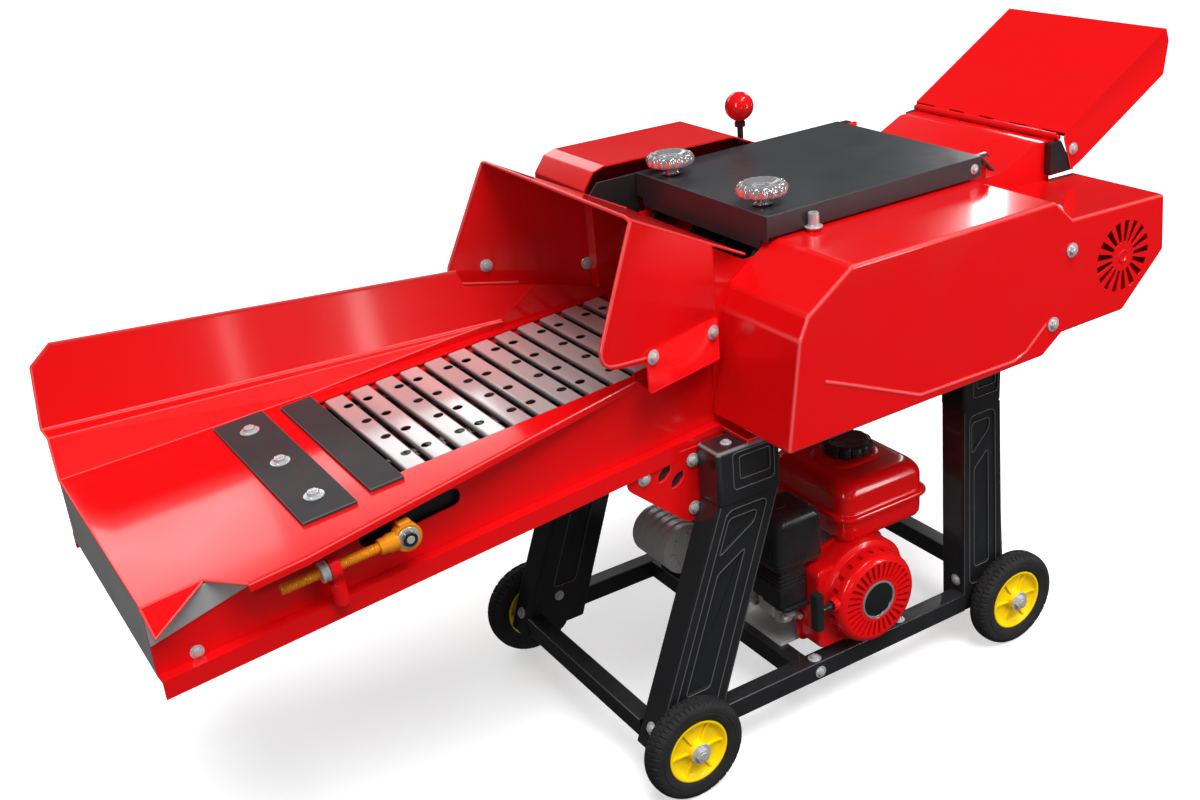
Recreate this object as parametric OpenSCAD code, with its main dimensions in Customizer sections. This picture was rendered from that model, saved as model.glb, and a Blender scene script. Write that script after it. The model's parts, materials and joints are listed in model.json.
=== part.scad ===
// Chaff cutter on wheels with a petrol engine.
// +X runs from the feed tray to the discharge, -Y is the engine's starter side, +Z is up, floor at z = 0.

/* [Trough] */
// X of the tray's front edge
tray_front = -1074; // [-1200:1:-1000]
// Height of the tray's front edge
tray_z = 723; // [700:1:760]
// Slope of the tray floor up to the throat, degrees
tray_slope = 4.35; // [3:0.05:5]
// Half width of the tray at its front edge
tray_half = 252; // [240:1:270]
// Half width of the trough at the throat
throat_half = 180; // [178:1:181]
// Thickness of sheet metal
sheet = 3; // [2:0.5:4]
// Depth of the trough's side web at the front
web_front = 114; // [90:1:130]
// Depth of the trough's side web at the throat
web_end = 145; // [120:1:150]
// Width of the side's outward ledge
ledge = 22; // [15:1:26]
// Height of the lip under the ledge
lip = 28; // [20:1:34]
// Height of the far wall above its foot
far_wall = 141; // [110:1:150]
// Widest reach of the near lip beyond the tray
near_lip = 66; // [40:1:80]

/* [Conveyor] */
// Half length of a slat
slat_half = 172; // [150:1:173]
// Pitch of the slats
slat_pitch = 49; // [44:1:54]
// Width of a slat
slat_w = 40; // [36:1:46]
// Thickness of a slat
slat_t = 8; // [6:1:10]
// Outer radius of the chain round a sprocket
chain_r = 44; // [40:1:46]
// Thickness of the chain
chain_t = 8; // [6:1:10]
// Radius of the conveyor shafts
conveyor_shaft_r = 12; // [10:1:14]
// Distance of the idler shaft from the tray's front edge
idler_u = 395; // [385:1:400]
// Distance of the drive shaft behind the throat, along the tray
drive_back = 71; // [69:0.5:73]
// Half of the conveyor runs' travel, half a pitch
run_travel = 24; // [20:1:24]
// Travel of the chain adjuster
adjust_travel = 20; // [10:1:25]
// Radius of the adjuster's screw
screw_r = 8; // [6:0.5:9]

/* [Hood] */
// X of the hood's top front edge
hood_front = -223; // [-240:1:-200]
// Height of the hood's top front edge
hood_z = 1091; // [1060:1:1110]
// Half width of the hood at its top front edge
hood_half = 250; // [240:1:260]
// Reach of the hood's sides in front of its top edge
hood_rake = 89; // [60:1:100]
// Height of the hood's top at the housing
hood_end_z = 952; // [945:1:958]

/* [Cutter] */
// Half width inside the housing
housing_half = 180; // [178:1:184]
// Thickness of the housing sides
housing_t = 6; // [5:1:6]
// Height of the rotor's axis
rotor_z = 820; // [814:1:824]
// Radius of the rotor over its knives
rotor_r = 138; // [130:1:140]
// Width of the shear bar
shear_w = 13; // [11:0.5:20]
// Radius of the rotor shaft
rotor_shaft_r = 20; // [17:1:21]
// Number of knives
knives = 4; // [3:1:6]
// Radius of the upper feed roller
roller_r = 50; // [46:1:52]
// Gap between the slats and the upper feed roller
feed_gap = 8; // [6:1:12]
// X of the roller arms' pivot
pivot_x = 114; // [112:1:118]
// Height of the roller arms' pivot
pivot_z = 955; // [952:1:958]

/* [Covers] */
// Half width over both covers
cover_half = 400; // [380:1:410]
// Half width of the black top cover
top_half = 205; // [202:1:206]
// X of the top cover's front edge
top_front = 74; // [70:1:80]
// X of the top cover's rear edge
top_end = 574; // [560:1:576]
// Height of the top cover
top_z = 1013; // [1012:1:1016]
// Radius of the air vent
vent_r = 68; // [55:1:70]
// Number of slots in the air vent
vent_slots = 17; // [12:1:20]
// Radius of the star knobs
knob_r = 46; // [38:1:48]

/* [Discharge] */
// X of the deflector's hinge
hinge_x = 785; // [780:1:790]
// Height of the deflector's hinge
hinge_z = 1003; // [1003:1:1006]
// Half width of the deflector
deflector_half = 206; // [204:1:212]
// Length of the deflector
deflector_l = 323.3; // [300:0.1:330]
// Angle of the deflector at rest, degrees
deflector_a = 29.6; // [25:0.1:35]
// Depth of the deflector's sides
deflector_d = 78; // [60:1:80]

/* [Frame] */
// Half width over the legs and rails
frame_half = 278; // [274:1:280]
// Depth of a leg across the machine
leg_d = 66; // [60:1:67]
// Wall of the pressed legs and rails
leg_t = 4; // [3:0.5:5]
// Height of the leg caps' top
cap_top = 648; // [646:1:650]
// Height of the leg caps' foot
cap_foot = 546; // [530:1:560]
// Height of the rails' top
rail_top = 132; // [130:1:134]
// Height of a rail
rail_h = 40; // [36:1:44]
// Width of a rail
rail_w = 36; // [32:1:40]

/* [Wheels] */
// Outer radius of a tyre
tyre_r = 100; // [95:1:102]
// Width of a tyre
tyre_w = 44; // [40:1:46]
// Radius of a rim
rim_r = 63; // [58:1:66]
// X of the front wheels
wheel_front = -211; // [-214:1:-208]
// X of the rear wheels
wheel_rear = 585; // [582:1:588]
// Radius of the stub axles
axle_r = 8; // [7:0.5:9]

/* [Engine] */
// X of the crankshaft
crank_x = 228; // [226:1:230]
// Height of the crankshaft
crank_z = 238; // [236:1:240]
// Radius of the crankshaft
crank_r = 12; // [10:0.5:13]
// Y of the recoil cover's face
recoil_y = -308; // [-312:1:-304]
// Radius of the recoil cover
recoil_r = 93; // [85:1:96]
// Radius of the engine pulley's groove
small_pulley_r = 40; // [36:1:44]
// Radius of the rotor pulley's groove
large_pulley_r = 95; // [85:1:100]
// Radius of the fuel cap
cap_r = 50; // [44:1:54]

/* [Fits] */
// Radial clearance of a running fit
fit = 0.05; // [0.02:0.01:0.08]
// Gap between neighbours that do not touch
gap = 0.3; // [0.2:0.1:0.5]

/* [Hidden] */
$fn = 48;

red = "#d5131a";
black = "#1d1f21";
grey = "#5b5d60";
steel = "#b9bcc0";
zinc = "#c98a2b";
yellow = "#f0c000";

// Trough geometry
trough_end = -40;
tray_end = trough_end - gap;
taper = atan((tray_half - throat_half) / (trough_end - tray_front));
side_l = (trough_end - tray_front) / cos(taper);
side_over = 5;
rise = tan(tray_slope);
function floor_z(x) = tray_z + rise * (x - tray_front);
function side_y(x) = tray_half - tan(taper) * (x - tray_front);
function tray_u(x) = (x - tray_front) / cos(tray_slope);
function along_side(x) = (x - tray_front) / cos(taper);
function trough_x(u, w) = tray_front + u * cos(tray_slope) - w * sin(tray_slope);
function trough_z(u, w) = tray_z + u * sin(tray_slope) + w * cos(tray_slope);
ledge_front = tray_z - web_front;
ledge_end = floor_z(trough_end) - web_end;
function lip_foot(x) = ledge_front - lip + (ledge_end - ledge_front) * (x - tray_front)
  / (trough_end - tray_front);
lip_start = -979;
lip_wide = -844;
lip_end = -207;
panel_end = -630;
strip_end = -346;
wall_back_x = -252;
wall_meet = -178;
wall_wing = -306;
wall_top_end = -316;
wall_top_front = -1018;
strip_rise = 14;
bar_front = [-814, -724];
bar_rear = [-696, -638];
floor_end = -660;
bar_half = [216, 200];
bar_t = 6;
slat_lift = -1;
axis_w = slat_lift - slat_t - chain_r;
idler_x = trough_x(idler_u, axis_w);
idler_z = trough_z(idler_u, axis_w);
drive_u = tray_u(trough_end) + drive_back;
drive_x = trough_x(drive_u, axis_w);
drive_z = trough_z(drive_u, axis_w);
run_clear = sqrt(chain_r * chain_r - (chain_r - chain_t) * (chain_r - chain_t)) + run_travel + 1;
run_start = idler_u + run_clear;
slats = floor((drive_u - run_clear - run_start) / slat_pitch);
chain_y = 120;
chain_w = 14;
slat_hole_r = 9;
slat_hole_pitch = 80;
slat_hole_shift = 6;
slot_h = conveyor_shaft_r + 3;
slot_u = [-42 - adjust_travel, 118];
runner_x = [-645, -55];
runner_t = 6;
runner_w = 8;
peg_r = 8;
screw_y = tray_half + 18;
lug_u = 274;
lug_t = 16;
lug_r = 19.5;
lug_web = 10;
capsule_r = 12.5;
capsule_top = 26;
capsule_l = 34;
nut_t = 14;
nut_r = 15;
screw_front = 190;
eye_r = 23;
eye_t = 18;
strip_h = 62;
strip_l = 380;

// Hood geometry
hood_end = 40;
housing_front = -40;
hood_stop = -45;
housing_out = housing_half + housing_t;
hood_slope = (hood_z - hood_end_z) / (hood_end - hood_front);
hood_taper = atan((hood_half - housing_out) / (hood_end - hood_front));
function hood_y(x) = hood_half - tan(hood_taper) * (x - hood_front);
function hood_top(x) = hood_z - hood_slope * (x - hood_front);
bracket_front = -216;
bracket_foot = 792;
bracket_top = 862;
bracket_t = 4;
hood_corner = [[6, 905], [0, 890], [5, 874], [22, 858]];
hood_foot = 806;

// Gear train: pinion to large gear, small gear to conveyor gear
bar_gap = 3;
knife_gap = 7;
rotor_x = drive_x + chain_r + bar_gap + shear_w + knife_gap + rotor_r;
shafts = norm([rotor_x - drive_x, rotor_z - drive_z]);
mesh_spread = 0.9975;
pinion_n = 18;
large_n = 50;
small_n = 12;
drive_n = 28;
module_mm = 2 * shafts / (mesh_spread * (pinion_n + large_n + small_n + drive_n));
function pitch_r(n) = n * module_mm / 2;
outer_plane = [-255, -241];
inner_plane = [-230, -216];
mesh_a = pitch_r(pinion_n) + pitch_r(large_n);
mesh_b = pitch_r(small_n) + pitch_r(drive_n);
along = (mesh_a * mesh_a - mesh_b * mesh_b + shafts * shafts) / (2 * shafts);
aside = sqrt(mesh_a * mesh_a - along * along);
to_drive = [drive_x - rotor_x, drive_z - rotor_z] / shafts;
gear_x = rotor_x + along * to_drive[0] + aside * to_drive[1];
gear_z = rotor_z + along * to_drive[1] - aside * to_drive[0];
angle_a = atan2(gear_z - rotor_z, gear_x - rotor_x);
angle_b = atan2(drive_z - gear_z, drive_x - gear_x);
stub_r = 12;

// Housing and covers
base_z = cap_top;
base_t = 7;
housing_foot = base_z + base_t;
housing_top = top_z - sheet - gap;
chute_top = 995;
chute_end = 775;
chute_start = 606;
chute_rise = [[731, chute_top], [653, 960], [chute_start, 957]];
outlet_z = 800;
housing_back = 560;
base_end = 600;
base_hole = [60, 440];
belt_hole = [110, 350];
skirt_rise = 5;
skirt_foot = pivot_z - skirt_rise;
cover_hinge_x = 590;
cover_hinge_z = 1000;
cover_pin_r = 8;
scroll_r = rotor_r + 12;
scroll_stop = -75;
scroll_begin = -172;
ramp_x = rotor_x + scroll_r * cos(scroll_stop);
ramp_z = rotor_z + scroll_r * sin(scroll_stop);
ramp_rise = tan(90 + scroll_stop);
arm_t = 8;
arm_y = 164;
roller_shaft_r = 10;
roller_x = drive_x;
roller_z = floor_z(roller_x) + slat_lift + feed_gap + roller_r;
pivot_r = 12;
knob_y = 142;
knob_x = pivot_x;
knob_stem = 8;
lever_x = 349;
lever_y = 237;
lever_pivot_z = 955;
lever_top = 1055;
lever_ball_z = 1083;
lever_ball_r = 29;
lever_r = 6;
near_outline = [[-45, 673], [544, 679], [592, 712], [753, 713], [857, 809], [848, 919], [606, 927],
  [560, 969], [96, 969], [3, 907], [-16, 868]];
far_outline = [[-42, 676], [480, 676], [520, 720], [520, 900], [453, 971], [313, 1034], [7, 1039],
  [-18, 1032], [-42, 1000]];
far_inner = 210;
far_belt_hole = [90, 370];
near_bolts = [[605, 869], [565, 737]];
far_bolts = [[0, 730], [0, 990], [470, 800]];
bolt_r = 9;
bolt_h = 6;
far_bosses = [[-40, 700], [-40, 930], [492, 760]];
boss_w = 26;
vent_x = 743;
vent_z = 823;

// Frame geometry
leg_in = frame_half - leg_d;
rail_foot = rail_top - rail_h;
front_cap = [-104, 30];
front_foot = [-277, -133];
rear_leg = [[484, rail_foot], [622, rail_foot], [622, 140], [590, 170], [569, cap_foot], [473, cap_foot]];
rear_cap = [471, 569];
front_rail = [-267, -231];
rear_rail = [586, 622];
engine_rail_front = [62, 98];
engine_rail_rear = [300, 336];
wheel_y = frame_half + 4 + tyre_w / 2;
axle_end = wheel_y + tyre_w / 2 + 14;
hub_half = 24;
hub_r = 22;
web_half = 6;
rim_edge = 4;
axle_nut_r = 14;
axle_nut_h = 8;
rim_holes = 6;
rim_hole_r = 7;
rim_hole_at = 38;
rail_t = 2.5;
gusset_x = [-246, -92];
gusset_z = [496, 600];
gusset_run = 114;
gusset_t = 5;

// Engine geometry
belt_y = 260;
belt_half = 10;
belt_t = 10;
flange_t = 6;
pulley_half = 20;
tank_x = [205, 410];
tank_y = [-240, 0];
tank_z = [330, 452];
tank_round = 24;
neck_r = 36;
neck_h = 10;
fuel_cap_x = 318;
fuel_cap_y = -115;
fuel_cap_h = 28;
cap_lobes = 12;
lobe_r = 9;
filter_x = [42, 153];
filter_y = [-240, -130];
filter_z = [330, 441];
neck_x = [52, 118];
filter_foot = 246;
block_x = [150, 306];
block_y = [-200, -20];
block_top = 300;
blower_back = -200;
blower_front = -262;
rope_y = -287;
rope_z = 255;
rope_r = 3;
handle_x = 95;
support_y = [190, 205];
bed_x = [80, 334];
bed_y = [-190, -30];
bed_t = 8;
head_x = [72, 150];
head_y = [-122, 12];
fins = 7;
fin_z = 196;
fin_pitch = 18;
post_x = [220, 250];
post_y = [-180, -80];
crank_back = -79;
carb_y = [-196, -150];
carb_z = [210, 300];
seam_z = [383, 391];
seam_w = 10;
blower = [[118, 142], [330, 142], [330, 250], [290, 318], [130, 318], [118, 300]];
recoil_slots = 32;
muffler_x = -10;
muffler_z = 305;
muffler_r = 52;
muffler_y = [-20, 110];

function unit(v) = v / norm(v);

// Points of a closed outline moved inwards by d
function inset(p, d) = [for (i = [0 : len(p) - 1])
  let (n = len(p), a = p[(i + n - 1) % n], b = p[i], c = p[(i + 1) % n],
    u = unit(b - a), v = unit(c - b), nu = [-u[1], u[0]], nv = [-v[1], v[0]])
  b + d / (1 + nu * nv) * (nu + nv)];

module rod_y(x, z, y0, y1, r) {
  translate([x, y1, z]) rotate([90, 0, 0]) cylinder(h = y1 - y0, r = r);
}

module plate_y(points, y0, y1) {
  translate([0, y1, 0]) rotate([90, 0, 0]) linear_extrude(y1 - y0) polygon(points);
}

module block(x, y, z) {
  translate([x[0], y[0], z[0]]) cube([x[1] - x[0], y[1] - y[0], z[1] - z[0]]);
}

module both_sides() {
  children();
  mirror([0, 1, 0]) children();
}

module on_trough() {
  translate([tray_front, 0, tray_z]) rotate([0, -tray_slope, 0]) children();
}

// Flat plate under a planar outline, t thick
module plate(p, t) {
  n = len(p);
  m = unit(cross(p[1] - p[0], p[2] - p[0]));
  under = [for (v = p) v - t * m];
  polyhedron(concat(p, under), concat([[for (i = [n - 1 : -1 : 0]) i]], [[for (i = [0 : n - 1]) n + i]],
    [for (i = [0 : n - 1]) [i, (i + 1) % n, n + (i + 1) % n, n + i]]));
}

// Block with its four upright edges rounded
module rounded_block(x, y, z, r) {
  block([x[0] + r, x[1] - r], y, z);
  block(x, [y[0] + r, y[1] - r], z);
  for (a = [x[0] + r, x[1] - r], b = [y[0] + r, y[1] - r])
    translate([a, b, z[0]]) cylinder(h = z[1] - z[0], r = r);
}

module gear(n, x, z, turn, y) {
  step = 360 / n;
  root = pitch_r(n) - 1.25 * module_mm;
  tip = pitch_r(n) + 0.9 * module_mm;
  tooth = [[root, -0.3], [tip, -0.11], [tip, 0.11], [root, 0.3]];
  translate([x, 0, z]) plate_y([for (i = [0 : n - 1], q = tooth)
    q[0] * [cos(turn + step * (i + q[1])), sin(turn + step * (i + q[1]))]], y[0], y[1]);
}

module hex_head(r, h) {
  cylinder(h = 2, r = r * 1.45);
  translate([0, 0, 2]) cylinder(h = h, r = r, $fn = 6);
}

// Frame

module front_leg_side() {
  plate_y([[front_foot[0], rail_foot], [front_foot[1], rail_foot], [front_cap[1] - 3, cap_foot],
    [front_cap[0] + 3, cap_foot]], -frame_half, -leg_in);
}

module leg_cap(x) {
  difference() {
    block(x, [-frame_half, -leg_in], [cap_foot, cap_top]);
    block([x[0] + leg_t, x[1] - leg_t], [-frame_half + leg_t, -leg_in - leg_t], [cap_foot - 1,
      cap_top - leg_t]);
    block([x[0] + 30, x[1] - 24], [-frame_half - 1, -frame_half + 1.5], [cap_foot + 26, cap_top - 28]);
  }
}

module legs() color(black) both_sides() {
  difference() {
    front_leg_side();
    plate_y([[front_foot[0] + leg_t, rail_foot - 1], [front_foot[1] - leg_t, rail_foot - 1],
      [front_cap[1] - 3 - leg_t, cap_foot + 1], [front_cap[0] + 3 + leg_t, cap_foot + 1]],
      -frame_half + leg_t, -leg_in - leg_t);
  }
  difference() {
    plate_y(rear_leg, -frame_half, -leg_in);
    plate_y([[484 + leg_t, rail_foot - 1], [590 - leg_t, rail_foot - 1], [569 - leg_t, cap_foot + 1],
      [473 + leg_t, cap_foot + 1]], -frame_half + leg_t, -leg_in - leg_t);
  }
  leg_cap(front_cap);
  leg_cap(rear_cap);
}

// Rear face of a front leg and front face of a rear leg at height z
function leg_back(z) = front_foot[1] + (front_cap[1] - 3 - front_foot[1]) * (z - rail_foot)
  / (cap_foot - rail_foot);
function leg_front(z) = rear_leg[0][0] + (rear_leg[5][0] - rear_leg[0][0]) * (z - rail_foot)
  / (cap_foot - rail_foot);

module side_rails() color(black) both_sides() difference() {
  plate_y([[leg_back(rail_foot), rail_foot], [leg_front(rail_foot), rail_foot],
    [leg_front(rail_top), rail_top], [leg_back(rail_top), rail_top]], -frame_half, -frame_half + rail_w);
  block([front_foot[0], rear_leg[1][0]], [-frame_half + rail_t, -frame_half + rail_w - rail_t],
    [rail_foot + rail_t, rail_top - rail_t]);
}

module square_tube_y(x, half) {
  difference() {
    block(x, [-half, half], [rail_foot, rail_top]);
    block([x[0] + rail_t, x[1] - rail_t], [-half - 1, half + 1], [rail_foot + rail_t, rail_top - rail_t]);
  }
}

module cross_rails() color(black) {
  square_tube_y(front_rail, leg_in);
  square_tube_y(rear_rail, leg_in);
  square_tube_y(engine_rail_front, frame_half - rail_w);
  square_tube_y(engine_rail_rear, frame_half - rail_w);
}

module gusset() {
  top = [for (x = gusset_x) [x, lip_foot(x) - gap]];
  plate_y([[gusset_x[0], gusset_z[1]], [gusset_x[0] + gusset_run, gusset_z[0]], [gusset_x[1], gusset_z[0]],
    top[1], top[0]],
    -leg_in, -leg_in + gusset_t);
}

module hood_bracket() {
  translate([hood_front, -hood_half, 0]) rotate([0, 0, hood_taper]) {
    start = (bracket_front - hood_front) / cos(hood_taper);
    stop = (hood_stop - hood_front) / cos(hood_taper);
    plate_y([[start, bracket_foot - bracket_t], [stop, bracket_foot - bracket_t], [stop, bracket_top + 4],
      [start + 8, bracket_top], [start, bracket_top - 8]], -sheet - bracket_t, -sheet);
  }
  translate([0, 0, bracket_foot - bracket_t]) linear_extrude(bracket_t) polygon([
    for (x = [bracket_front + 10, hood_stop - 4]) [x, -side_y(x) - sheet / cos(taper)],
    for (x = [hood_stop - 4, bracket_front + 10]) [x, -hood_y(x) - sheet - 2]]);
}

module support_plates() color(red) both_sides() {
  gusset();
  hood_bracket();
}

module base_plate() color(red) difference() {
  block([housing_front, base_end], [-frame_half, frame_half], [base_z, base_z + base_t]);
  block(base_hole, [-housing_half + 20, housing_half - 20], [base_z - 1, base_z + base_t + 1]);
  block(belt_hole, [belt_y - 30, frame_half + 1], [base_z - 1, base_z + base_t + 1]);
}

// Wheels

module stub_axle(x) {
  rod_y(x, tyre_r, -axle_end, -frame_half, axle_r);
  rod_y(x, tyre_r, -wheel_y + hub_half + gap, -frame_half, axle_r + 4);
  translate([x, -wheel_y - hub_half - gap, tyre_r]) rotate([90, 0, 0]) hex_head(axle_nut_r, axle_nut_h);
}

module stub_axles() color(steel) both_sides() {
  stub_axle(wheel_front);
  stub_axle(wheel_rear);
}

module tyre(x, y) color(black) translate([x, y, tyre_r]) rotate([90, 0, 0]) rotate_extrude($fn = 96)
  polygon([[rim_r + fit, -tyre_w / 2 + rim_edge], [tyre_r - 16, -tyre_w / 2], [tyre_r - 6, -tyre_w / 2 + 3],
    [tyre_r, -tyre_w / 2 + 9], [tyre_r, tyre_w / 2 - 9], [tyre_r - 6, tyre_w / 2 - 3],
    [tyre_r - 16, tyre_w / 2], [rim_r + fit, tyre_w / 2 - rim_edge]]);

module rim(x, y) color(yellow) translate([x, y, tyre_r]) rotate([90, 0, 0]) difference() {
  rotate_extrude($fn = 96) polygon([[axle_r + fit, -hub_half], [hub_r, -hub_half], [hub_r, -web_half],
    [rim_r - 8, -web_half], [rim_r - 6, -tyre_w / 2 + rim_edge], [rim_r, -tyre_w / 2 + rim_edge],
    [rim_r, tyre_w / 2 - rim_edge], [rim_r - 6, tyre_w / 2 - rim_edge], [rim_r - 8, web_half],
    [hub_r, web_half], [hub_r, hub_half], [axle_r + fit, hub_half]]);
  for (i = [0 : rim_holes - 1]) rotate(360 / rim_holes * i)
    translate([rim_hole_at, 0, -hub_half]) cylinder(h = 2 * hub_half, r = rim_hole_r);
}

module tyre_front_near() tyre(wheel_front, -wheel_y);
module rim_front_near() rim(wheel_front, -wheel_y);
module tyre_front_far() tyre(wheel_front, wheel_y);
module rim_front_far() rim(wheel_front, wheel_y);
module tyre_rear_near() tyre(wheel_rear, -wheel_y);
module rim_rear_near() rim(wheel_rear, -wheel_y);
module tyre_rear_far() tyre(wheel_rear, wheel_y);
module rim_rear_far() rim(wheel_rear, wheel_y);

// Trough

module trough_side() {
  top_drop = sheet / cos(tray_slope);
  long = side_l + side_over;
  end_x = tray_front + long * cos(taper);
  foot_end = lip_foot(end_x) + lip;
  top_end_z = floor_z(end_x) - top_drop;
  difference() {
    translate([tray_front, -tray_half, 0]) rotate([0, 0, taper]) {
      plate_y([[0, ledge_front], [long, foot_end], [long, top_end_z], [0, tray_z - top_drop]], -sheet, 0);
      plate_y([[0, ledge_front], [long, foot_end], [long, foot_end + sheet], [0, ledge_front + sheet]],
        -ledge, 0);
      plate_y([[0, ledge_front - lip], [long, foot_end - lip], [long, foot_end + sheet],
        [0, ledge_front + sheet]], -ledge - sheet, -ledge);
    }
    block([trough_end, trough_end + 4 * side_over], [-tray_half, 0], [0, hood_z]);
    on_trough() block([idler_u + slot_u[0], idler_u + slot_u[1]], [-tray_half - sheet, 0],
      [axis_w - slot_h, axis_w + slot_h]);
  }
  on_trough() difference() {
    union() {
      block([lug_u - lug_t / 2, lug_u + lug_t / 2], [-screw_y, -side_y(trough_x(lug_u, axis_w)) - 1],
        [axis_w - lug_web, axis_w + lug_web]);
      translate([lug_u - lug_t / 2, -screw_y, axis_w]) rotate([0, 90, 0]) cylinder(h = lug_t, r = lug_r);
      translate([lug_u, -screw_y, axis_w - capsule_top - 1]) cylinder(h = capsule_top, r = peg_r);
      translate([lug_u, -screw_y, axis_w - capsule_top - capsule_l]) cylinder(h = capsule_l, r = capsule_r);
      translate([lug_u, -screw_y, axis_w - capsule_top - capsule_l]) sphere(capsule_r);
    }
    translate([lug_u - lug_t, -screw_y, axis_w]) rotate([0, 90, 0]) cylinder(h = 2 * lug_t,
      r = screw_r + 0.5);
  }
}

// Shelf on the web's inside that carries the ends of a slat run whose underside is at w
module runner(w) {
  on_trough() translate([0, 0, w - fit - runner_t]) linear_extrude(runner_t) polygon([
    for (x = runner_x) [tray_u(x), -slat_half + runner_w], for (x = [runner_x[1], runner_x[0]])
    [tray_u(x), -side_y(x) - 1]]);
}

module trough_sides() color(red) both_sides() {
  trough_side();
  runner(axis_w + chain_r);
  runner(axis_w - chain_r - slat_t);
}

function at_floor(x, y) = [tray_u(x), y];

// Corners of the far side's folds: a sloping panel, a narrow strip and the tall wall above them
tray_corner = [tray_front, tray_half, tray_z];
panel_foot = [panel_end, side_y(panel_end), floor_z(panel_end)];
strip_front = tray_corner + [8, 68, 50];
strip_back = [strip_end, side_y(strip_end), floor_z(strip_end) + strip_rise];
wall_foot = tray_corner + [6, 108, 53];
wall_back = [wall_back_x, side_y(wall_back_x) + sheet / 2, floor_z(wall_back_x) + strip_rise + 1];
wall_tip = wall_foot + [12, 18, far_wall - 33];
wall_n = cross(wall_back - wall_foot, wall_tip - wall_foot);
function on_wall(x, z) = [x, wall_foot[1] - (wall_n[0] * (x - wall_foot[0])
  + wall_n[2] * (z - wall_foot[2])) / wall_n[1], z];
function wall_z(x, y) = wall_foot[2] - (wall_n[0] * (x - wall_foot[0])
  + wall_n[1] * (y - wall_foot[1])) / wall_n[2];
meet_z = wall_z(wall_meet, side_y(wall_meet) + sheet / 2);
wall_top = wall_foot[2] + far_wall;
cheek_top = floor_z(hood_stop) + 16;

// Folded sheet: faces over the points of its outline, thickened along d
module folded_sheet(p, faces, d) {
  n = len(p);
  polyhedron(concat(p, [for (v = p) v + d]), concat(
    [for (f = faces) [for (i = [len(f) - 1 : -1 : 0]) f[i]]],
    [for (f = faces) [for (i = f) n + i]],
    [for (i = [0 : n - 1]) [i, (i + 1) % n, n + (i + 1) % n, n + i]]));
}

module far_side() {
  folded_sheet([tray_corner, panel_foot, strip_back, wall_back, on_wall(wall_meet, meet_z),
    on_wall(wall_wing, wall_top - 41), on_wall(wall_top_end, wall_top - 12), on_wall(wall_top_front, wall_top),
    wall_tip, wall_foot, strip_front], [[0, 1, 10], [1, 2, 10], [10, 2, 9], [2, 3, 9], [9, 3, 4, 5, 6, 7, 8]],
    sheet * [0, 0.7, -0.9]);
}

// Upright cheek on the trough's side that guides the stalks from x = start into the throat
module cheek(start, top) {
  translate([tray_front, -tray_half, 0]) rotate([0, 0, taper]) plate_y([
    [along_side(start), floor_z(start)], [along_side(hood_stop), floor_z(hood_stop)],
    [along_side(hood_stop), cheek_top], for (q = top) [along_side(q[0]), q[1]]], -sheet, 0);
}

module feed_tray() color(red) {
  slat_edge = slat_half + 3;
  on_trough() translate([0, 0, -sheet]) linear_extrude(sheet) polygon([
    at_floor(tray_front, -tray_half - sheet), at_floor(lip_start, -side_y(lip_start) - sheet),
    at_floor(lip_start + 46, -side_y(lip_start) - near_lip + 4), at_floor(lip_wide, -side_y(lip_wide)
      - near_lip),
    at_floor(lip_end, -side_y(lip_end) - sheet), at_floor(tray_end, -side_y(trough_end) - sheet),
    at_floor(tray_end, -slat_edge), at_floor(floor_end, -slat_edge),
    at_floor(floor_end, slat_edge), at_floor(tray_end, slat_edge),
    at_floor(tray_end, side_y(trough_end) + sheet), at_floor(tray_front, tray_half + sheet)]);
  far_side();
  mirror([0, 1, 0]) cheek(panel_end, [[wall_meet, meet_z], [wall_back_x, wall_back[2]], [strip_end, strip_back[2]]]);
  cheek(lip_end, [[lip_end, floor_z(lip_end) + strip_rise]]);
}

module grey_panels() color(grey) {
  half = side_y(tray_front + sheet);
  block([tray_front, tray_front + sheet], [-half, half], [ledge_front, tray_z - sheet / cos(tray_slope)]);
  translate([tray_front, -tray_half, 0]) rotate([0, 0, taper]) plate_y([[0, tray_z - strip_h],
    [strip_l, tray_z + strip_l * rise - sheet - 2], [0, tray_z - sheet - 1]], -sheet - 2, -sheet);
}

module wear_bars() color(black) on_trough() {
  block([tray_u(bar_front[0]), tray_u(bar_front[1])], [-bar_half[0], bar_half[0]], [0, bar_t]);
  block([tray_u(bar_rear[0]), tray_u(bar_rear[1])], [-bar_half[1], bar_half[1]], [0, bar_t]);
}

// Conveyor

module slat_run(side) {
  top = side > 0 ? axis_w + chain_r : axis_w - chain_r - slat_t;
  for (i = [0 : slats - 1]) translate([run_start + (i + 0.5) * slat_pitch - slat_w / 2, 0, top]) difference() {
    block([0, slat_w], [-slat_half, slat_half], [0, slat_t]);
    for (j = [-1.5 : 1 : 1.5])
      translate([slat_w / 2 + (i % 2 == 0 ? 1 : -1) * slat_hole_shift, slat_hole_pitch * j, -1])
        cylinder(h = slat_t + 2, r = slat_hole_r);
  }
  both_sides() block([run_start, run_start + slats * slat_pitch], [chain_y - chain_w / 2,
    chain_y + chain_w / 2],
    side > 0 ? [axis_w + chain_r - chain_t, axis_w + chain_r] : [axis_w - chain_r,
      axis_w - chain_r + chain_t]);
}

module slats_upper() color(steel) on_trough() slat_run(1);
module slats_lower() color(steel) on_trough() slat_run(-1);

module sprockets(x, z) {
  both_sides() rod_y(x, z, chain_y - chain_w / 2, chain_y + chain_w / 2, chain_r);
}

module conveyor_shaft() color(steel) {
  rod_y(drive_x, drive_z, inner_plane[0] - 4, housing_out + 6, conveyor_shaft_r);
  sprockets(drive_x, drive_z);
  gear(drive_n, drive_x, drive_z, angle_b + 180 + 180 / drive_n, inner_plane);
}

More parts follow.
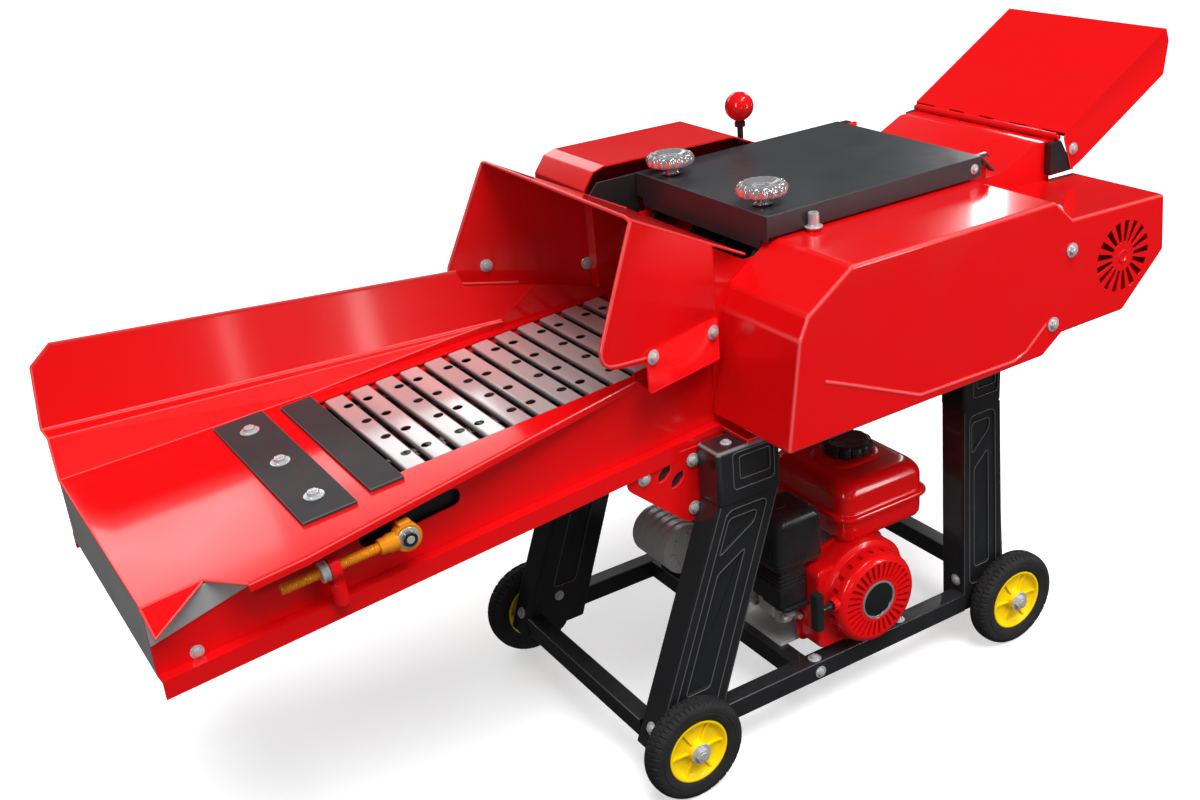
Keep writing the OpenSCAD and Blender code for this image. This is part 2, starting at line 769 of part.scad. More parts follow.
module idler_shaft() color(steel) {
  rod_y(idler_x, idler_z, -screw_y - eye_t / 2 - 8, screw_y + eye_t / 2 + 8, conveyor_shaft_r);
  sprockets(idler_x, idler_z);
}

module eye_screws() color(zinc) on_trough() both_sides() difference() {
  union() {
    translate([idler_u, -screw_y + eye_t / 2, axis_w]) rotate([90, 0, 0]) cylinder(h = eye_t, r = eye_r);
    translate([screw_front, -screw_y, axis_w]) rotate([0, 90, 0])
      cylinder(h = idler_u - screw_front - eye_r + 6, r = screw_r);
  }
  translate([idler_u, -screw_y + eye_t, axis_w]) rotate([90, 0, 0]) cylinder(h = 2 * eye_t,
    r = conveyor_shaft_r + fit);
}

module adjuster_nut(y) color(steel) on_trough() difference() {
  translate([lug_u - lug_t / 2 - nut_t - gap, y, axis_w]) rotate([0, 90, 0]) cylinder(h = nut_t,
    r = nut_r, $fn = 6);
  translate([lug_u - lug_t - nut_t - 4, y, axis_w]) rotate([0, 90, 0]) cylinder(h = nut_t + 16,
    r = screw_r + fit);
}

module adjuster_nut_near() adjuster_nut(-screw_y);
module adjuster_nut_far() adjuster_nut(screw_y);

// Hood

module hood_side() {
  start = -hood_rake / cos(hood_taper);
  stop = (hood_stop - hood_front) / cos(hood_taper);
  translate([hood_front, -hood_half, 0]) rotate([0, 0, hood_taper]) plate_y([[0, hood_z],
    for (q = hood_corner) [start + q[0], q[1]], [stop, hood_foot], [stop, hood_top(hood_stop)]], -sheet, 0);
}

module feed_hood() color(red) {
  plate([[hood_front, -hood_half - sheet, hood_z], [hood_end, -housing_out - sheet, hood_end_z],
    [hood_end, housing_out + sheet, hood_end_z], [hood_front, hood_half + sheet, hood_z]], sheet);
  both_sides() hood_side();
}

// Cutter housing

module housing_side() {
  high = top_front + sheet + gap;
  plate_y([[housing_front, housing_foot], [housing_back, housing_foot], [chute_end, outlet_z],
    [chute_end, chute_top], for (q = chute_rise) q, [chute_start, housing_top], [high, housing_top],
    [high, hood_top(hood_end) - 12], [hood_end, hood_top(hood_end) - 12],
    [housing_front, hood_top(housing_front) - 9]], -housing_out, -housing_half);
  block([hood_stop + 1 + gap, housing_front], [-hood_y(hood_stop) + gap, -housing_half],
    [floor_z(housing_front) + 2, hood_top(housing_front) - 9]);
}

module housing_sides() color(red) {
  difference() {
    both_sides() {
      housing_side();
      rod_y(cover_hinge_x, cover_hinge_z, -top_half + sheet, -housing_out + 1, cover_pin_r);
    }
    rod_y(rotor_x, rotor_z, -250, 250, rotor_shaft_r + 4);
    rod_y(drive_x, drive_z, -250, 250, conveyor_shaft_r + fit);
    rod_y(pivot_x, pivot_z, -250, 250, pivot_r + fit);
  }
  rod_y(gear_x, gear_z, outer_plane[0] - 8, -housing_out + 1, stub_r);
  rod_y(lever_x, lever_pivot_z, housing_out - 1, lever_y + 14, cover_pin_r);
}

module housing_floor() color(red) intersection() {
  difference() {
    rod_y(rotor_x, rotor_z, -housing_half, housing_half, scroll_r + sheet);
    rod_y(rotor_x, rotor_z, -housing_half - 1, housing_half + 1, scroll_r);
  }
  plate_y([[rotor_x, rotor_z], for (a = [scroll_begin, -150, -120, -95, scroll_stop])
    [rotor_x + 2 * scroll_r * cos(a), rotor_z + 2 * scroll_r * sin(a)]], -housing_half, housing_half);
}

module shear_bar() color(steel) block([drive_x + chain_r + bar_gap, drive_x + chain_r + bar_gap + shear_w],
  [-housing_half, housing_half], [floor_z(drive_x) - 6, floor_z(drive_x) + 10]);

module bearings() color(black) difference() {
  union() {
    both_sides() {
      rod_y(rotor_x, rotor_z, -housing_out - 26, -housing_out, 42);
      block([rotor_x - 62, rotor_x + 62], [-housing_out - 10, -housing_out], [rotor_z - 24, rotor_z + 24]);
    }
    plate_y([[engine_rail_front[0], rail_top], [engine_rail_rear[1], rail_top], [engine_rail_rear[1],
      rail_top + 20],
      [crank_x + 34, crank_z + 34], [crank_x - 34, crank_z + 34], [engine_rail_front[0], rail_top + 20]],
      support_y[0], support_y[1]);
  }
  rod_y(rotor_x, rotor_z, -300, 300, rotor_shaft_r + fit);
  rod_y(crank_x, crank_z, 0, 300, crank_r + fit);
}

// Rotor

module rotor_shaft() color(steel)
  rod_y(rotor_x, rotor_z, outer_plane[0] - 8, belt_y + pulley_half + 12, rotor_shaft_r);

module rotor_drum() color(black) difference() {
  for (y = [-150, -50, 50, 150]) rod_y(rotor_x, rotor_z, y - 5, y + 5, rotor_r - 33);
  rod_y(rotor_x, rotor_z, -300, 300, rotor_shaft_r + fit);
}

module rotor_knives() color(steel) translate([rotor_x, 0, rotor_z]) for (i = [0 : knives - 1])
  rotate([0, 360 * i / knives + 20, 0]) block([rotor_r - 33, rotor_r - 1], [-housing_half + 8,
    housing_half - 8], [-5, 5]);

module pulley(x, z, r) {
  rod_y(x, z, belt_y - pulley_half, belt_y + pulley_half, r);
  for (s = [-1, 1]) rod_y(x, z, belt_y + s * (pulley_half - flange_t / 2) - flange_t / 2,
    belt_y + s * (pulley_half - flange_t / 2) + flange_t / 2, r + belt_t);
}

module rotor_pulley() color(black) difference() {
  pulley(rotor_x, rotor_z, large_pulley_r);
  rod_y(rotor_x, rotor_z, 0, 400, rotor_shaft_r + fit);
}

module rotor_pinion() color(steel) difference() {
  gear(pinion_n, rotor_x, rotor_z, angle_a, outer_plane);
  rod_y(rotor_x, rotor_z, -400, 0, rotor_shaft_r + fit);
}

module compound_gear() color(steel) difference() {
  union() {
    gear(large_n, gear_x, gear_z, angle_a + 180 + 180 / large_n, outer_plane);
    gear(small_n, gear_x, gear_z, angle_b, inner_plane);
    rod_y(gear_x, gear_z, outer_plane[0], inner_plane[1], stub_r + 5);
  }
  rod_y(gear_x, gear_z, -400, 0, stub_r + fit);
}

module arm_pivot_shaft() color(steel) rod_y(pivot_x, pivot_z, -housing_out, housing_out, pivot_r);

module roller_arms() color(black) difference() {
  both_sides() {
    reach = [roller_x - pivot_x, roller_z - pivot_z];
    side = 16 * unit([-reach[1], reach[0]]);
    a = [pivot_x, pivot_z];
    b = [roller_x, roller_z];
    rod_y(pivot_x, pivot_z, -arm_y, -arm_y + arm_t, 22);
    rod_y(roller_x, roller_z, -arm_y, -arm_y + arm_t, 20);
    plate_y([a + side, b + side, b - side, a - side], -arm_y, -arm_y + arm_t);
  }
  rod_y(pivot_x, pivot_z, -200, 200, pivot_r + fit);
  rod_y(roller_x, roller_z, -200, 200, roller_shaft_r + fit);
}

module feed_roller() color(steel) {
  rod_y(roller_x, roller_z, -arm_y - 4, arm_y + 4, roller_shaft_r);
  rod_y(roller_x, roller_z, -arm_y + arm_t + 2, arm_y - arm_t - 2, roller_r - 12);
  translate([roller_x, 0, roller_z]) for (i = [0 : 9]) rotate([0, 36 * i, 0])
    block([roller_r - 14, roller_r], [-arm_y + arm_t + 2, arm_y - arm_t - 2], [-3, 3]);
}

// Covers

module near_cover() color(red) difference() {
  plate_y(near_outline, -cover_half, -housing_out);
  plate_y(inset(near_outline, sheet), -cover_half + sheet, -housing_out + 1);
  translate([vent_x, -cover_half, vent_z]) for (i = [0 : vent_slots - 1]) rotate([0, 360 * i / vent_slots, 0])
    plate_y([[vent_r * 0.42, -3], [vent_r, -6.5], [vent_r, 6.5], [vent_r * 0.42, 3]], -1, sheet + 1);
}

module far_cover() color(red) {
  difference() {
    plate_y(far_outline, far_inner, cover_half);
    plate_y(inset(far_outline, sheet), far_inner - 1, cover_half - sheet);
    block(far_belt_hole, [far_inner - 1, cover_half - sheet], [far_outline[0][1] - 1, far_outline[0][1] + 14]);
    block([lever_x - 30, lever_x + 30], [lever_y - 10, lever_y + 10], [990, 1060]);
  }
  for (q = far_bosses)
    block([q[0], q[0] + boss_w], [housing_out, far_inner + 6], [q[1], q[1] + boss_w]);
}

module top_cover() color(black) difference() {
  union() {
    block([top_front, top_end], [-top_half, top_half], [top_z - sheet, top_z]);
    block([top_front, top_front + sheet], [-top_half, top_half], [top_z - 46, top_z]);
    block([top_front, top_front + sheet], [-housing_out + 1, housing_out - 1], [skirt_foot, top_z]);
    both_sides() {
      block([top_front, top_end], [-top_half, -top_half + sheet], [top_z - 39, top_z]);
      rod_y(cover_hinge_x, cover_hinge_z, -housing_out - 12, -housing_out - 4, 13);
      block([top_end - 30, cover_hinge_x], [-housing_out - 12, -housing_out - 4], [cover_hinge_z - 10,
        top_z]);
    }
  }
  rod_y(cover_hinge_x, cover_hinge_z, -250, 250, cover_pin_r + fit);
  for (s = [-1, 1]) translate([knob_x, s * knob_y, top_z - 20]) cylinder(h = 40, r = knob_stem + fit);
}

module star_knob(y) color(steel) translate([knob_x, y, 0]) {
  translate([0, 0, pivot_z + pivot_r + 0.5]) cylinder(h = 70, r = knob_stem);
  translate([0, 0, top_z + gap]) cylinder(h = 18, r = 16);
  translate([0, 0, top_z + 18]) difference() {
    cylinder(h = 22, r = knob_r);
    for (i = [0 : 7]) rotate(45 * i) translate([knob_r + 5, 0, -1]) cylinder(h = 30, r = 9);
  }
}

module star_knob_near() star_knob(-knob_y);
module star_knob_far() star_knob(knob_y);

module clutch_lever() color(black) difference() {
  union() {
    rod_y(lever_x, lever_pivot_z, lever_y - 10, lever_y + 10, 18);
    translate([lever_x, lever_y, lever_pivot_z + 10]) cylinder(h = lever_top - lever_pivot_z, r = lever_r);
  }
  rod_y(lever_x, lever_pivot_z, 0, 300, cover_pin_r + fit);
}

module lever_ball() color(red) translate([lever_x, lever_y, lever_ball_z]) difference() {
  sphere(lever_ball_r);
  translate([0, 0, -40]) cylinder(h = 40 + lever_top + 10 - lever_ball_z + gap, r = lever_r + fit);
}

// Discharge

knuckles = 9;
knuckle_w = 2 * 190 / knuckles;
function knuckle_y(i) = -190 + i * knuckle_w;
pin_r = 5;
knuckle_r = 8;

module discharge_chute() color(red) {
  plate_y([for (q = chute_rise) q, for (i = [2, 1, 0]) chute_rise[i] + [0, sheet],
    [hinge_x - knuckle_r - 1, chute_top + sheet], [hinge_x - knuckle_r - 1, chute_top]], -housing_out, housing_out);
  lift = (chute_end - ramp_x) * ramp_rise;
  ramp = [ramp_x, ramp_z] + gap * [sin(-scroll_stop), cos(-scroll_stop)];
  plate_y([ramp + sheet * [cos(scroll_stop), sin(scroll_stop)], [chute_end,
    ramp_z + lift - sheet / sin(-scroll_stop)],
    [chute_end, ramp_z + lift], ramp], -housing_half, housing_half);
  rod_y(hinge_x, hinge_z, -198, 198, pin_r);
  for (i = [0 : 2 : knuckles - 1]) {
    rod_y(hinge_x, hinge_z, knuckle_y(i) + gap, knuckle_y(i + 1) - gap, knuckle_r);
    block([hinge_x - knuckle_r - 4, hinge_x], [knuckle_y(i) + gap, knuckle_y(i + 1) - gap], [chute_top,
      chute_top + sheet]);
  }
}

module deflector() color(red) translate([hinge_x, 0, hinge_z]) rotate([0, -deflector_a, 0]) {
  difference() {
    union() {
      block([knuckle_r + 4, deflector_l], [-deflector_half, deflector_half], [0, sheet]);
      for (i = [1 : 2 : knuckles - 1]) {
        rod_y(0, 0, knuckle_y(i) + gap, knuckle_y(i + 1) - gap, knuckle_r);
        block([0, knuckle_r + 6], [knuckle_y(i) + gap, knuckle_y(i + 1) - gap], [0, sheet]);
      }
      both_sides() plate_y([[knuckle_r + 4, sheet], [knuckle_r + 8, sheet - deflector_d],
        [deflector_l - 44, sheet - deflector_d], [deflector_l - 4, sheet - 26], [deflector_l, sheet]],
        -deflector_half, -deflector_half + sheet);
    }
    rod_y(0, 0, -deflector_half, deflector_half, pin_r + fit);
  }
}

// Fasteners

module fasteners() color(steel) {
  on_trough() for (y = [-150, 0, 150])
    translate([(tray_u(bar_front[0]) + tray_u(bar_front[1])) / 2, y, bar_t]) hex_head(bolt_r, bolt_h);
  for (q = near_bolts) translate([q[0], -cover_half, q[1]]) rotate([90, 0, 0]) hex_head(bolt_r, bolt_h);
  for (q = far_bolts) translate([q[0], cover_half, q[1]]) rotate([-90, 0, 0]) hex_head(bolt_r, bolt_h);
}

// Engine

module engine_block() color(steel) difference() {
  union() {
    block(bed_x, bed_y, [rail_top, rail_top + bed_t]);
    block(block_x, block_y, [rail_top + bed_t, block_top]);
    for (i = [0 : fins - 1]) block([head_x[0], block_x[0]], head_y, [fin_z + fin_pitch * i,
      fin_z + fin_pitch * (i + 0.5)]);
    block([head_x[0] + 12, block_x[0]], [head_y[0] + 10, head_y[1] - 10], [fin_z,
      fin_z + fin_pitch * (fins - 0.5)]);
    block(post_x, post_y, [block_top, tank_z[0]]);
    block([post_x[0], tank_x[1] - 30], post_y, [tank_z[0] - 12, tank_z[0]]);
  }
  rod_y(crank_x, crank_z, crank_back - 1, 100, crank_r + fit);
}

module crankshaft() color(steel) rod_y(crank_x, crank_z, crank_back, belt_y + pulley_half + 6, crank_r);

module engine_pulley() color(black) difference() {
  pulley(crank_x, crank_z, small_pulley_r);
  rod_y(crank_x, crank_z, 0, 400, crank_r + fit);
}

belt_span = norm([rotor_x - crank_x, rotor_z - crank_z]);
belt_angle = atan2(rotor_z - crank_z, rotor_x - crank_x);
belt_steps = 36;
belt_wrap = asin((large_pulley_r - small_pulley_r) / belt_span);

// Outline of the belt's loop, grown outwards from the grooves
function belt_loop(grow) = concat(
  [for (i = [0 : belt_steps]) let (a = belt_angle + 90 + belt_wrap + (180 - 2 * belt_wrap) * i / belt_steps)
    [crank_x, crank_z] + (small_pulley_r + grow) * [cos(a), sin(a)]],
  [for (i = [0 : belt_steps]) let (a = belt_angle - 90 - belt_wrap + (180 + 2 * belt_wrap) * i / belt_steps)
    [rotor_x, rotor_z] + (large_pulley_r + grow) * [cos(a), sin(a)]]);

module v_belt() color(black) difference() {
  plate_y(belt_loop(belt_t - 1), belt_y - belt_half, belt_y + belt_half);
  plate_y(belt_loop(gap), belt_y - belt_half - 1, belt_y + belt_half + 1);
}

module fuel_tank() color(red) difference() {
  union() {
    rounded_block(tank_x, tank_y, tank_z, tank_round);
    rounded_block([tank_x[0] - seam_w, tank_x[1] + seam_w], [tank_y[0] - seam_w, tank_y[1] + seam_w], seam_z,
      tank_round + seam_w);
    translate([fuel_cap_x, fuel_cap_y, tank_z[1] - 1]) cylinder(h = neck_h + 1, r = neck_r);
  }
  rounded_block([tank_x[0] + sheet, tank_x[1] - sheet], [tank_y[0] + sheet, tank_y[1] - sheet],
    [tank_z[0] + sheet, tank_z[1] - sheet], tank_round - sheet);
  translate([fuel_cap_x, fuel_cap_y, tank_z[1] - 2 * sheet]) cylinder(h = neck_h + 3 * sheet,
    r = neck_r - sheet);
}

module fuel_cap() color(black) translate([fuel_cap_x, fuel_cap_y, tank_z[1] + gap]) difference() {
  cylinder(h = fuel_cap_h, r = cap_r);
  translate([0, 0, -1]) cylinder(h = neck_h + 3, r = neck_r + fit);
  for (i = [0 : cap_lobes - 1]) rotate(360 * i / cap_lobes) translate([cap_r + lobe_r * 0.6, 0, -1])
    cylinder(h = fuel_cap_h - 4, r = lobe_r);
}

module air_filter() color(black) {
  rounded_block(filter_x, filter_y, filter_z, 14);
  block(neck_x, [filter_y[0] + 8, filter_y[1] - 8], [filter_foot, filter_z[0] + 14]);
}

module carburettor() color(steel) {
  block([neck_x[1], block_x[0]], carb_y, carb_z);
  block([neck_x[0] + 8, neck_x[1]], carb_y, [carb_z[0], filter_foot]);
}

module recoil_cover() color(red) difference() {
  union() {
    plate_y(blower, blower_front, blower_back);
    rod_y(crank_x, crank_z, recoil_y, blower_front, recoil_r);
  }
  rod_y(crank_x, crank_z, recoil_y + 4, blower_front + 2 * sheet, recoil_r - 4);
  plate_y(inset(blower, sheet), blower_front + sheet, blower_back + 1);
  translate([crank_x, recoil_y, crank_z]) for (i = [0 : recoil_slots - 1]) rotate([0,
    360 * i / recoil_slots, 0])
    plate_y([[44, -1.6], [76, -2.6], [76, 2.6], [44, 1.6]], -1, 6);
  translate([crank_x - recoil_r - 10, rope_y, rope_z]) rotate([0, 90, 0]) cylinder(h = 40, r = rope_r + fit);
}

module starter_handle() color(black) {
  rounded_block([handle_x - 11, handle_x + 11], [rope_y - 12, rope_y + 12], [rope_z - 40, rope_z + 40], 8);
  translate([handle_x + 10, rope_y, rope_z]) rotate([0, 90, 0]) cylinder(h = 195, r = rope_r);
}

module muffler() color(steel) difference() {
  union() {
    rod_y(muffler_x, muffler_z, muffler_y[0], muffler_y[1], muffler_r);
    translate([muffler_x, 0, muffler_z]) rotate([0, 90, 0]) cylinder(h = head_x[0] - muffler_x, r = 14);
  }
  rod_y(muffler_x, muffler_z, muffler_y[0] + sheet, muffler_y[1] - sheet, muffler_r - sheet);
  rod_y(muffler_x, muffler_z - 20, muffler_y[1] - 2 * sheet, muffler_y[1] + 1, 9);
}

legs();
side_rails();
cross_rails();
support_plates();
base_plate();
stub_axles();
tyre_front_near();
rim_front_near();
tyre_front_far();
rim_front_far();
tyre_rear_near();
rim_rear_near();
tyre_rear_far();
rim_rear_far();
trough_sides();
feed_tray();
grey_panels();
wear_bars();
slats_upper();
slats_lower();
conveyor_shaft();
idler_shaft();
eye_screws();
adjuster_nut_near();
adjuster_nut_far();
feed_hood();
housing_sides();
housing_floor();
shear_bar();
bearings();
rotor_shaft();
rotor_drum();
rotor_knives();
rotor_pulley();
rotor_pinion();
compound_gear();
arm_pivot_shaft();
roller_arms();
feed_roller();
near_cover();
far_cover();
top_cover();
star_knob_near();
star_knob_far();
clutch_lever();
lever_ball();
discharge_chute();
deflector();
fasteners();
engine_block();
crankshaft();
engine_pulley();
v_belt();
fuel_tank();
fuel_cap();
air_filter();
carburettor();
recoil_cover();
starter_handle();
muffler();
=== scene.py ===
import json
import math

import bmesh
import bpy
from mathutils import Matrix, Vector


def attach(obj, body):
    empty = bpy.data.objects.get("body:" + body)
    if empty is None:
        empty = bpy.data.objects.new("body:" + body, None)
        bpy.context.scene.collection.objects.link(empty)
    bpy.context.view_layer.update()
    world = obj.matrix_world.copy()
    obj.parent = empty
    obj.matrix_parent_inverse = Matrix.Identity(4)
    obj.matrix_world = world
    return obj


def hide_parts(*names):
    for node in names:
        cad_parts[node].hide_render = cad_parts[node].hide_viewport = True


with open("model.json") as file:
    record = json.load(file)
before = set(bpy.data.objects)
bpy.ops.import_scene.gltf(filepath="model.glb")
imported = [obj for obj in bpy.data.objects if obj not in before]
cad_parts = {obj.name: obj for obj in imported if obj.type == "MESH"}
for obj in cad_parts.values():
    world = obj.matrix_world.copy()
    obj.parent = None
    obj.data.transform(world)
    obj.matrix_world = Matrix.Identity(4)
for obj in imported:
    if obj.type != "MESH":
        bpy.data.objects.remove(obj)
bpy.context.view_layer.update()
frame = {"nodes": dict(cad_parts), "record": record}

mm = 0.001
scene = bpy.context.scene
bodyOf = {node: body for body, nodes in frame["record"]["behaviour"]["bodies"].items() for node in nodes}
print("stage: frame loaded")


# Node trees are put together with this: settings first, then sockets by name, linked or given a value
def addNode(tree, kind, inputs, **settings):
    node = tree.nodes.new(kind)
    for key, value in settings.items():
        setattr(node, key, value)
    for label, source in inputs.items():
        if isinstance(source, bpy.types.NodeSocket):
            tree.links.new(source, node.inputs[label])
        else:
            node.inputs[label].default_value = source
    return node


# Finishes: one look per surface, all on Object coordinates; the "edge" colour is painted highlight along
# folds and edges (painted shade on the slats)
finishLooks = {
    "redPaint": {"slot": "red_paint", "colour": (0.74, 0.0035, 0.005), "shade": (0.67, 0.003, 0.0045),
                 "rough": (0.17, 0.25), "grain": 260, "bump": 0.05, "coat": 0.55, "mirror": 0.45,
                 "edge": (0.98, 0.17, 0.17)},
    "blackPaint": {"slot": "black_paint", "colour": (0.0125, 0.0130, 0.0140),
                   "shade": (0.019, 0.0195, 0.021),
                   "rough": (0.24, 0.36), "grain": 420, "bump": 0.12, "coat": 0.3,
                   "edge": (0.11, 0.11, 0.115)},
    "legBlack": {"slot": "black_paint", "colour": (0.0125, 0.0130, 0.0140),
                 "shade": (0.018, 0.0185, 0.020),
                 "rough": (0.20, 0.28), "grain": 420, "bump": 0.05, "coat": 0.4,
                 "edge": (0.34, 0.34, 0.35)},
    "coverBlack": {"slot": "black_paint", "colour": (0.026, 0.028, 0.031), "shade": (0.036, 0.038, 0.042),
                   "rough": (0.36, 0.50), "grain": 520, "bump": 0.12, "coat": 0.1,
                   "edge": (0.16, 0.16, 0.165)},
    "barBlack": {"slot": "black_paint", "colour": (0.030, 0.031, 0.033), "shade": (0.044, 0.045, 0.047),
                 "rough": (0.52, 0.68), "grain": 600, "bump": 0.2, "coat": 0,
                 "edge": (0.14, 0.14, 0.145)},
    "greyPaint": {"slot": "grey_paint", "colour": (0.30, 0.30, 0.305), "shade": (0.36, 0.36, 0.365),
                  "rough": (0.42, 0.55), "grain": 380, "bump": 0.14, "coat": 0},
    "slatSteel": {"slot": "bright_steel", "colour": (0.98, 0.975, 0.97), "shade": (0.50, 0.495, 0.49),
                  "rough": (0.16, 0.28), "grain": 420, "bump": 0.08, "coat": 0, "metal": 0.62,
                  "stretch": (1, 0.03, 1), "edge": (0.22, 0.22, 0.22)},
    "boltSteel": {"slot": "bright_steel", "colour": (0.80, 0.81, 0.82), "shade": (0.58, 0.60, 0.62),
                  "rough": (0.16, 0.30), "grain": 420, "bump": 0.10, "coat": 0, "metal": 0.55},
    "machineSteel": {"slot": "bright_steel", "colour": (0.42, 0.42, 0.43), "shade": (0.26, 0.26, 0.27),
                     "rough": (0.30, 0.48), "grain": 260, "bump": 0.12, "coat": 0, "metal": 1},
    "zincPlate": {"slot": "zinc_plate", "colour": (0.98, 0.36, 0.015), "shade": (0.80, 0.24, 0.008),
                  "rough": (0.24, 0.40), "grain": 300, "bump": 0.14, "coat": 0.2, "metal": 0.3},
    "chrome": {"slot": "chrome", "colour": (0.86, 0.87, 0.88), "shade": (0.74, 0.75, 0.77),
               "rough": (0.10, 0.17), "grain": 120, "bump": 0.03, "coat": 0, "metal": 0.8},
    "castAlloy": {"slot": "engine_alloy", "colour": (0.80, 0.80, 0.79), "shade": (0.56, 0.55, 0.54),
                  "rough": (0.26, 0.42), "grain": 320, "bump": 0.3, "coat": 0, "metal": 0.4,
                  "edge": (0.95, 0.95, 0.94)},
    "yellowPaint": {"slot": "yellow_paint", "colour": (0.95, 0.66, 0.0), "shade": (0.84, 0.56, 0.0),
                    "rough": (0.30, 0.42), "grain": 260, "bump": 0.08, "coat": 0.25},
    "tyreRubber": {"slot": "tyre_rubber", "colour": (0.014, 0.0145, 0.015),
                   "shade": (0.026, 0.026, 0.027),
                   "rough": (0.52, 0.74), "grain": 700, "bump": 0.3, "coat": 0},
    "blackPlastic": {"slot": "black_plastic", "colour": (0.012, 0.0125, 0.0135),
                     "shade": (0.020, 0.021, 0.022),
                     "rough": (0.22, 0.34), "grain": 900, "bump": 0.16, "coat": 0.35,
                     "edge": (0.09, 0.09, 0.095)},
    "badgeBlack": {"slot": "black_plastic", "colour": (0.008, 0.008, 0.009),
                   "shade": (0.014, 0.014, 0.015),
                   "rough": (0.12, 0.20), "grain": 260, "bump": 0.04, "coat": 0.6},
    "redKnob": {"slot": "red_knob", "colour": (0.72, 0.006, 0.008), "shade": (0.64, 0.004, 0.006),
                "rough": (0.16, 0.24), "grain": 180, "bump": 0.05, "coat": 0.6},
    "beltRubber": {"slot": "belt_rubber", "colour": (0.016, 0.016, 0.016), "shade": (0.030, 0.030, 0.030),
                   "rough": (0.6, 0.8), "grain": 500, "bump": 0.3, "coat": 0},
}


def makeFinish(name, look):
    material = bpy.data.materials.new(name)
    material.use_nodes = True
    tree = material.node_tree
    shader = tree.nodes["Principled BSDF"]
    shader.inputs["Metallic"].default_value = look.get("metal", 0)
    shader.inputs["Coat Weight"].default_value = look["coat"]
    shader.inputs["Coat Roughness"].default_value = 0.08
    shader.inputs["Specular IOR Level"].default_value = look.get("mirror", 0.5)
    place = addNode(tree, "ShaderNodeTexCoord", {})
    stretch = addNode(tree, "ShaderNodeMapping", {"Vector": place.outputs["Object"],
                                                  "Scale": look.get("stretch", (1, 1, 1))})
    spot = stretch.outputs["Vector"]
    # slow drift of colour and gloss over the part
    cloud = addNode(tree, "ShaderNodeTexNoise", {"Vector": spot, "Scale": look["grain"] * 0.035, "Detail": 2})
    colour = addNode(tree, "ShaderNodeMix", {"Factor": cloud.outputs["Fac"], "A": (*look["colour"], 1),
                                             "B": (*look["shade"], 1)}, data_type="RGBA")
    if "edge" in look:  # painted highlight along folds and edges, from the "edge" attribute (painted shade on the slats)
        line = addNode(tree, "ShaderNodeAttribute", {}, attribute_name="edge")
        colour = addNode(tree, "ShaderNodeMix", {"Factor": line.outputs["Fac"], "A": colour.outputs["Result"],
                                                 "B": (*look["edge"], 1)}, data_type="RGBA")
    tree.links.new(colour.outputs["Result"], shader.inputs["Base Color"])
    low, high = look["rough"]
    gloss = addNode(tree, "ShaderNodeMapRange", {"Value": cloud.outputs["Fac"], "From Min": 0.2,
                                                 "From Max": 0.8, "To Min": low, "To Max": high},
                    interpolation_type="SMOOTHSTEP")
    tree.links.new(gloss.outputs["Result"], shader.inputs["Roughness"])
    # fine texture of the skin
    grain = addNode(tree, "ShaderNodeTexNoise", {"Vector": spot, "Scale": look["grain"], "Detail": 3})
    relief = addNode(tree, "ShaderNodeBump", {"Height": grain.outputs["Fac"], "Strength": look["bump"],
                                              "Distance": 0.0006})
    tree.links.new(relief.outputs["Normal"], shader.inputs["Normal"])
    return material


finishes = {name: makeFinish(name, look) for name, look in finishLooks.items()}
print("stage: finishes", len(finishes))


# Making and placing meshes; shapes are built in millimetres
def placeMesh(name, mesh, finish, body, replaced=(), angle=34):
    mesh.materials.clear()
    mesh.materials.append(finishes[finish])
    mesh.shade_smooth()
    mesh.set_sharp_from_angle(angle=math.radians(angle))
    piece = bpy.data.objects.new(name, mesh)
    scene.collection.objects.link(piece)
    evenNormals = piece.modifiers.new("evenNormals", "WEIGHTED_NORMAL")
    evenNormals.keep_sharp = True
    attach(piece, body)
    if replaced:
        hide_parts(*replaced)
    return piece


def toMesh(bm, name):
    bmesh.ops.scale(bm, vec=(mm, mm, mm), verts=bm.verts)
    mesh = bpy.data.meshes.new(name)
    bm.to_mesh(mesh)
    bm.free()
    return mesh


def makePiece(name, bm, finish, body, replaced=(), angle=34):
    return placeMesh(name, toMesh(bm, name), finish, body, replaced, angle)


def nodeCopy(node):
    bm = bmesh.new()
    bm.from_mesh(frame["nodes"][node].data)
    bmesh.ops.scale(bm, vec=(1 / mm, 1 / mm, 1 / mm), verts=bm.verts)
    bmesh.ops.remove_doubles(bm, verts=bm.verts, dist=0.01)
    bmesh.ops.dissolve_limit(bm, angle_limit=math.radians(0.6), verts=bm.verts, edges=bm.edges)
    return bm


def addTo(target, source, matrix=None):
    if matrix:
        laid(source, matrix)
    mesh = bpy.data.meshes.new("part")
    source.to_mesh(mesh)
    source.free()
    target.from_mesh(mesh)
    bpy.data.meshes.remove(mesh)
    return target


def laid(bm, matrix):
    bmesh.ops.transform(bm, matrix=matrix, verts=bm.verts)
    return bm


def shifted(bm, vec):
    bmesh.ops.translate(bm, vec=vec, verts=bm.verts)
    return bm


def middle(edge):
    return (edge.verts[0].co + edge.verts[1].co) / 2


def heading(edge):
    return (edge.verts[1].co - edge.verts[0].co).normalized()


# Layer that carries the painted highlight (painted shade on the slats)
def paintedLightLayer(bm):
    return bm.verts.layers.float.get("edge") or bm.verts.layers.float.new("edge")


# A whole piece carries painted highlight at the given share
def withPaintedHighlight(bm, share):
    line = paintedLightLayer(bm)
    for vert in bm.verts:
        vert[line] = share
    return bm


# Painted highlight lines along a swept piece: the picked points of its section
def paintedHighlightLines(bm, sectionSize, picked, share):
    line = paintedLightLayer(bm)
    for i, vert in enumerate(bm.verts):
        vert[line] = share if i % sectionSize in picked else 0
    return bm
